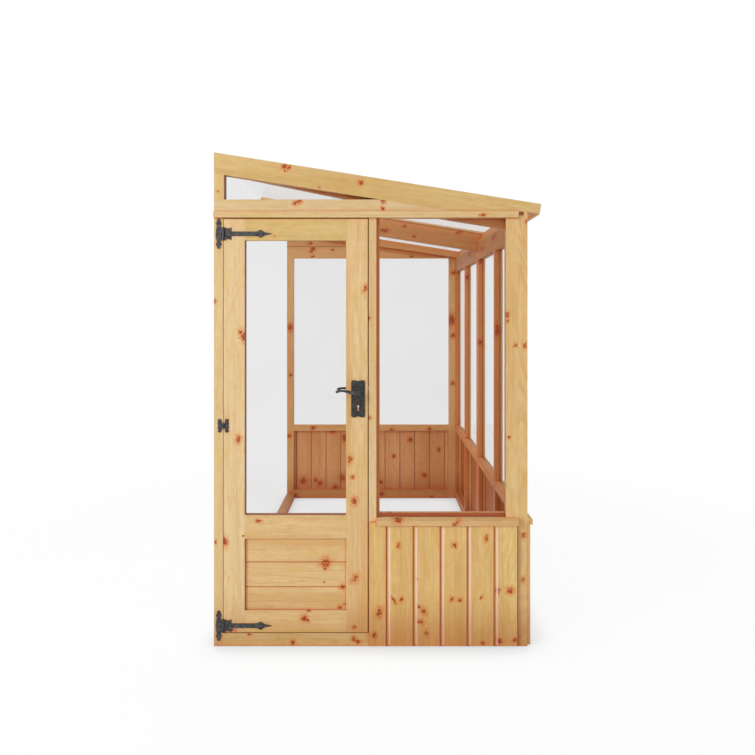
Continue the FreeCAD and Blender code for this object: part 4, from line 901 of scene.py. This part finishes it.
battenLook = {"top": 2.012, "left": -0.663, "screws": (-0.60, -0.30, 0.0, 0.30, 0.60)}
battenScrews = []
for x in battenLook["screws"]:
    fall = (x - battenLook["left"]) * math.tan(roofSlope)
    battenScrews.append((x, 0.0, battenLook["top"] - fall, "up slope"))
setFixings("batten_screws", "batten screw", battenScrews, looks["zinc"], "frame")

# board nails, one in each board at the bottom rail and one at the mid rail
nailLook = {
    "rows": (0.026, 0.474),
    "pitch": 0.1088,
    "front": (-0.0393, -1.227, 6),
    "rear": (-0.6385, 1.227, 11),
    "wall": (0.619, -1.1745, 22),
}


def nailPlaces(look):
    places = []
    pitch = look["pitch"]
    for z in look["rows"]:
        for gable, facing in (("front", "out"), ("rear", "in")):
            first, y, count = look[gable]
            places += [(first + n * pitch, y, z, facing) for n in range(count)]
        x, first, count = look["wall"]
        places += [(x, first + n * pitch, z, "right") for n in range(count)]
    return places


boardNails = nailPlaces(nailLook)
setFixings("board_nails", "nail", boardNails, looks["zinc"], "frame")

# A stepped rose round the foot of each lever
roseLook = {
    "hub": (-0.079, 1.029),
    "faces": ironworkLook["backplateFaces"],
    "bore": 0.0134,
    "reach": 0.0172,
    "step": 0.0160,
    "height": 0.0030,
    "steps": 40,
}


def leverRoses(look):
    bore, reach, step, height = look["bore"], look["reach"], look["step"], look["height"]
    profile = [(bore, 0.0), (bore, height), (step - 0.001, height), (step, height * 0.7)]
    profile += [(step, height * 0.45), (reach, height * 0.3), (reach, 0.0)]
    shape = bmesh.new()
    for y, facing in look["faces"]:
        ring = bmesh.new()
        turnProfile(ring, profile, look["steps"])
        hub = (look["hub"][0], y, look["hub"][1])
        bmesh.ops.transform(ring, matrix=Matrix.Translation(hub) @ facings[facing], verts=ring.verts)
        mesh = bpy.data.meshes.new("rose")
        ring.to_mesh(mesh)
        ring.free()
        shape.from_mesh(mesh)
        bpy.data.meshes.remove(mesh)
    addPiece("lever_roses", shape, looks["iron"], "door")


leverRoses(roseLook)
print("fixings:", len(frameScrews + doorScrews + strapRivets + battenScrews + boardNails))


# Stage: a pale floor, a white surround, soft lamps and the camera
stageLook = {
    "floor": "#fbfbfb",
    "floorReach": 60.0,
    "floorGlow": 0.915,
    "contact": 0.16,
    "contactShade": 0.72,
    "glowFrom": 1.6,
    "glowTo": 3.2,
    "surround": 0.43,
    "aim": (0.0, 0.0, 0.9),
    "key": (-5.2, -5.4, 3.6, 3.2, 250.0),
    "fill": (3.6, -6.0, 2.4, 3.0, 46.0),
    "top": (0.2, -0.6, 5.6, 4.0, 68.0),
    "back": (-1.5, 5.5, 3.4, 3.4, 38.0),
}


def seenDirectly(tree):
    # 1 for camera, mirror and glass rays
    path = addNode(tree, "LightPath")
    seen = maths(tree, "MAXIMUM", path.outputs["Is Camera Ray"], path.outputs["Is Glossy Ray"])
    return maths(tree, "MAXIMUM", seen, path.outputs["Is Transmission Ray"])


def layFloor(look):
    mesh = bpy.data.meshes.new("floor")
    shape = bmesh.new()
    bmesh.ops.create_grid(shape, x_segments=2, y_segments=2, size=look["floorReach"])
    shape.to_mesh(mesh)
    shape.free()
    floor = bpy.data.objects.new("floor", mesh)
    bpy.context.scene.collection.objects.link(floor)
    mat, tree = newMaterial("paleFloor")
    plain = addNode(tree, "BsdfDiffuse", {"Color": linear(look["floor"])})
    shade = remap(tree, openness(tree, look["contact"], 8), 0.35, 1.0, look["contactShade"], 1.0)
    glow = addNode(tree, "Emission", {"Color": (1.0, 1.0, 1.0, 1.0), "Strength": shade})
    place = addNode(tree, "TexCoord").outputs["Object"]
    away = addNode(tree, "VectorMath", {0: place}, operation="LENGTH").outputs["Value"]
    share = remap(tree, away, look["glowFrom"], look["glowTo"], look["floorGlow"], 1.0)
    share = maths(tree, "MULTIPLY", seenDirectly(tree), share)
    mixed = addNode(tree, "MixShader", {0: share, 1: plain.outputs[0], 2: glow.outputs[0]})
    addNode(tree, "OutputMaterial", {"Surface": mixed.outputs[0]})
    mesh.materials.append(mat)


def lightSurround(look):
    world = bpy.data.worlds.new("surround")
    world.use_nodes = True
    tree = world.node_tree
    tree.nodes.clear()
    seen = seenDirectly(tree)
    strength = maths(tree, "ADD", maths(tree, "MULTIPLY", seen, 1.0 - look["surround"]), look["surround"])
    glow = addNode(tree, "Background", {"Color": (1.0, 1.0, 1.0, 1.0), "Strength": strength})
    addNode(tree, "OutputWorld", {"Surface": glow.outputs[0]})
    bpy.context.scene.world = world


def hangLamp(name, aim, x, y, z, size, power):
    lamp = bpy.data.lights.new(name, "AREA")
    lamp.shape = "DISK"
    lamp.size = size
    lamp.energy = power
    holder = bpy.data.objects.new(name, lamp)
    holder.location = (x, y, z)
    towards = Vector(aim) - holder.location
    holder.rotation_euler = towards.to_track_quat("-Z", "Y").to_euler()
    holder.visible_camera = False
    holder.visible_transmission = False
    bpy.context.scene.collection.objects.link(holder)


layFloor(stageLook)
lightSurround(stageLook)
for lampName in ("key", "fill", "top", "back"):
    hangLamp(lampName, stageLook["aim"], *stageLook[lampName])

cameraLook = {
    "place": (0.001, -4.188, 1.344),
    "lens": 35.0,
    "sensor": 36.0,
    "shift": (-0.0005, -0.0837),
    "farEnd": 200.0,
}
camera = bpy.data.objects.new("camera", bpy.data.cameras.new("camera"))
camera.location = cameraLook["place"]
camera.rotation_euler = (math.pi / 2, 0.0, 0.0)
camera.data.lens = cameraLook["lens"]
camera.data.sensor_width = cameraLook["sensor"]
camera.data.shift_x, camera.data.shift_y = cameraLook["shift"]
camera.data.clip_end = cameraLook["farEnd"]
bpy.context.scene.collection.objects.link(camera)
bpy.context.scene.camera = camera
bpy.context.scene.view_settings.view_transform = "Standard"
print("stage, lamps and camera set")
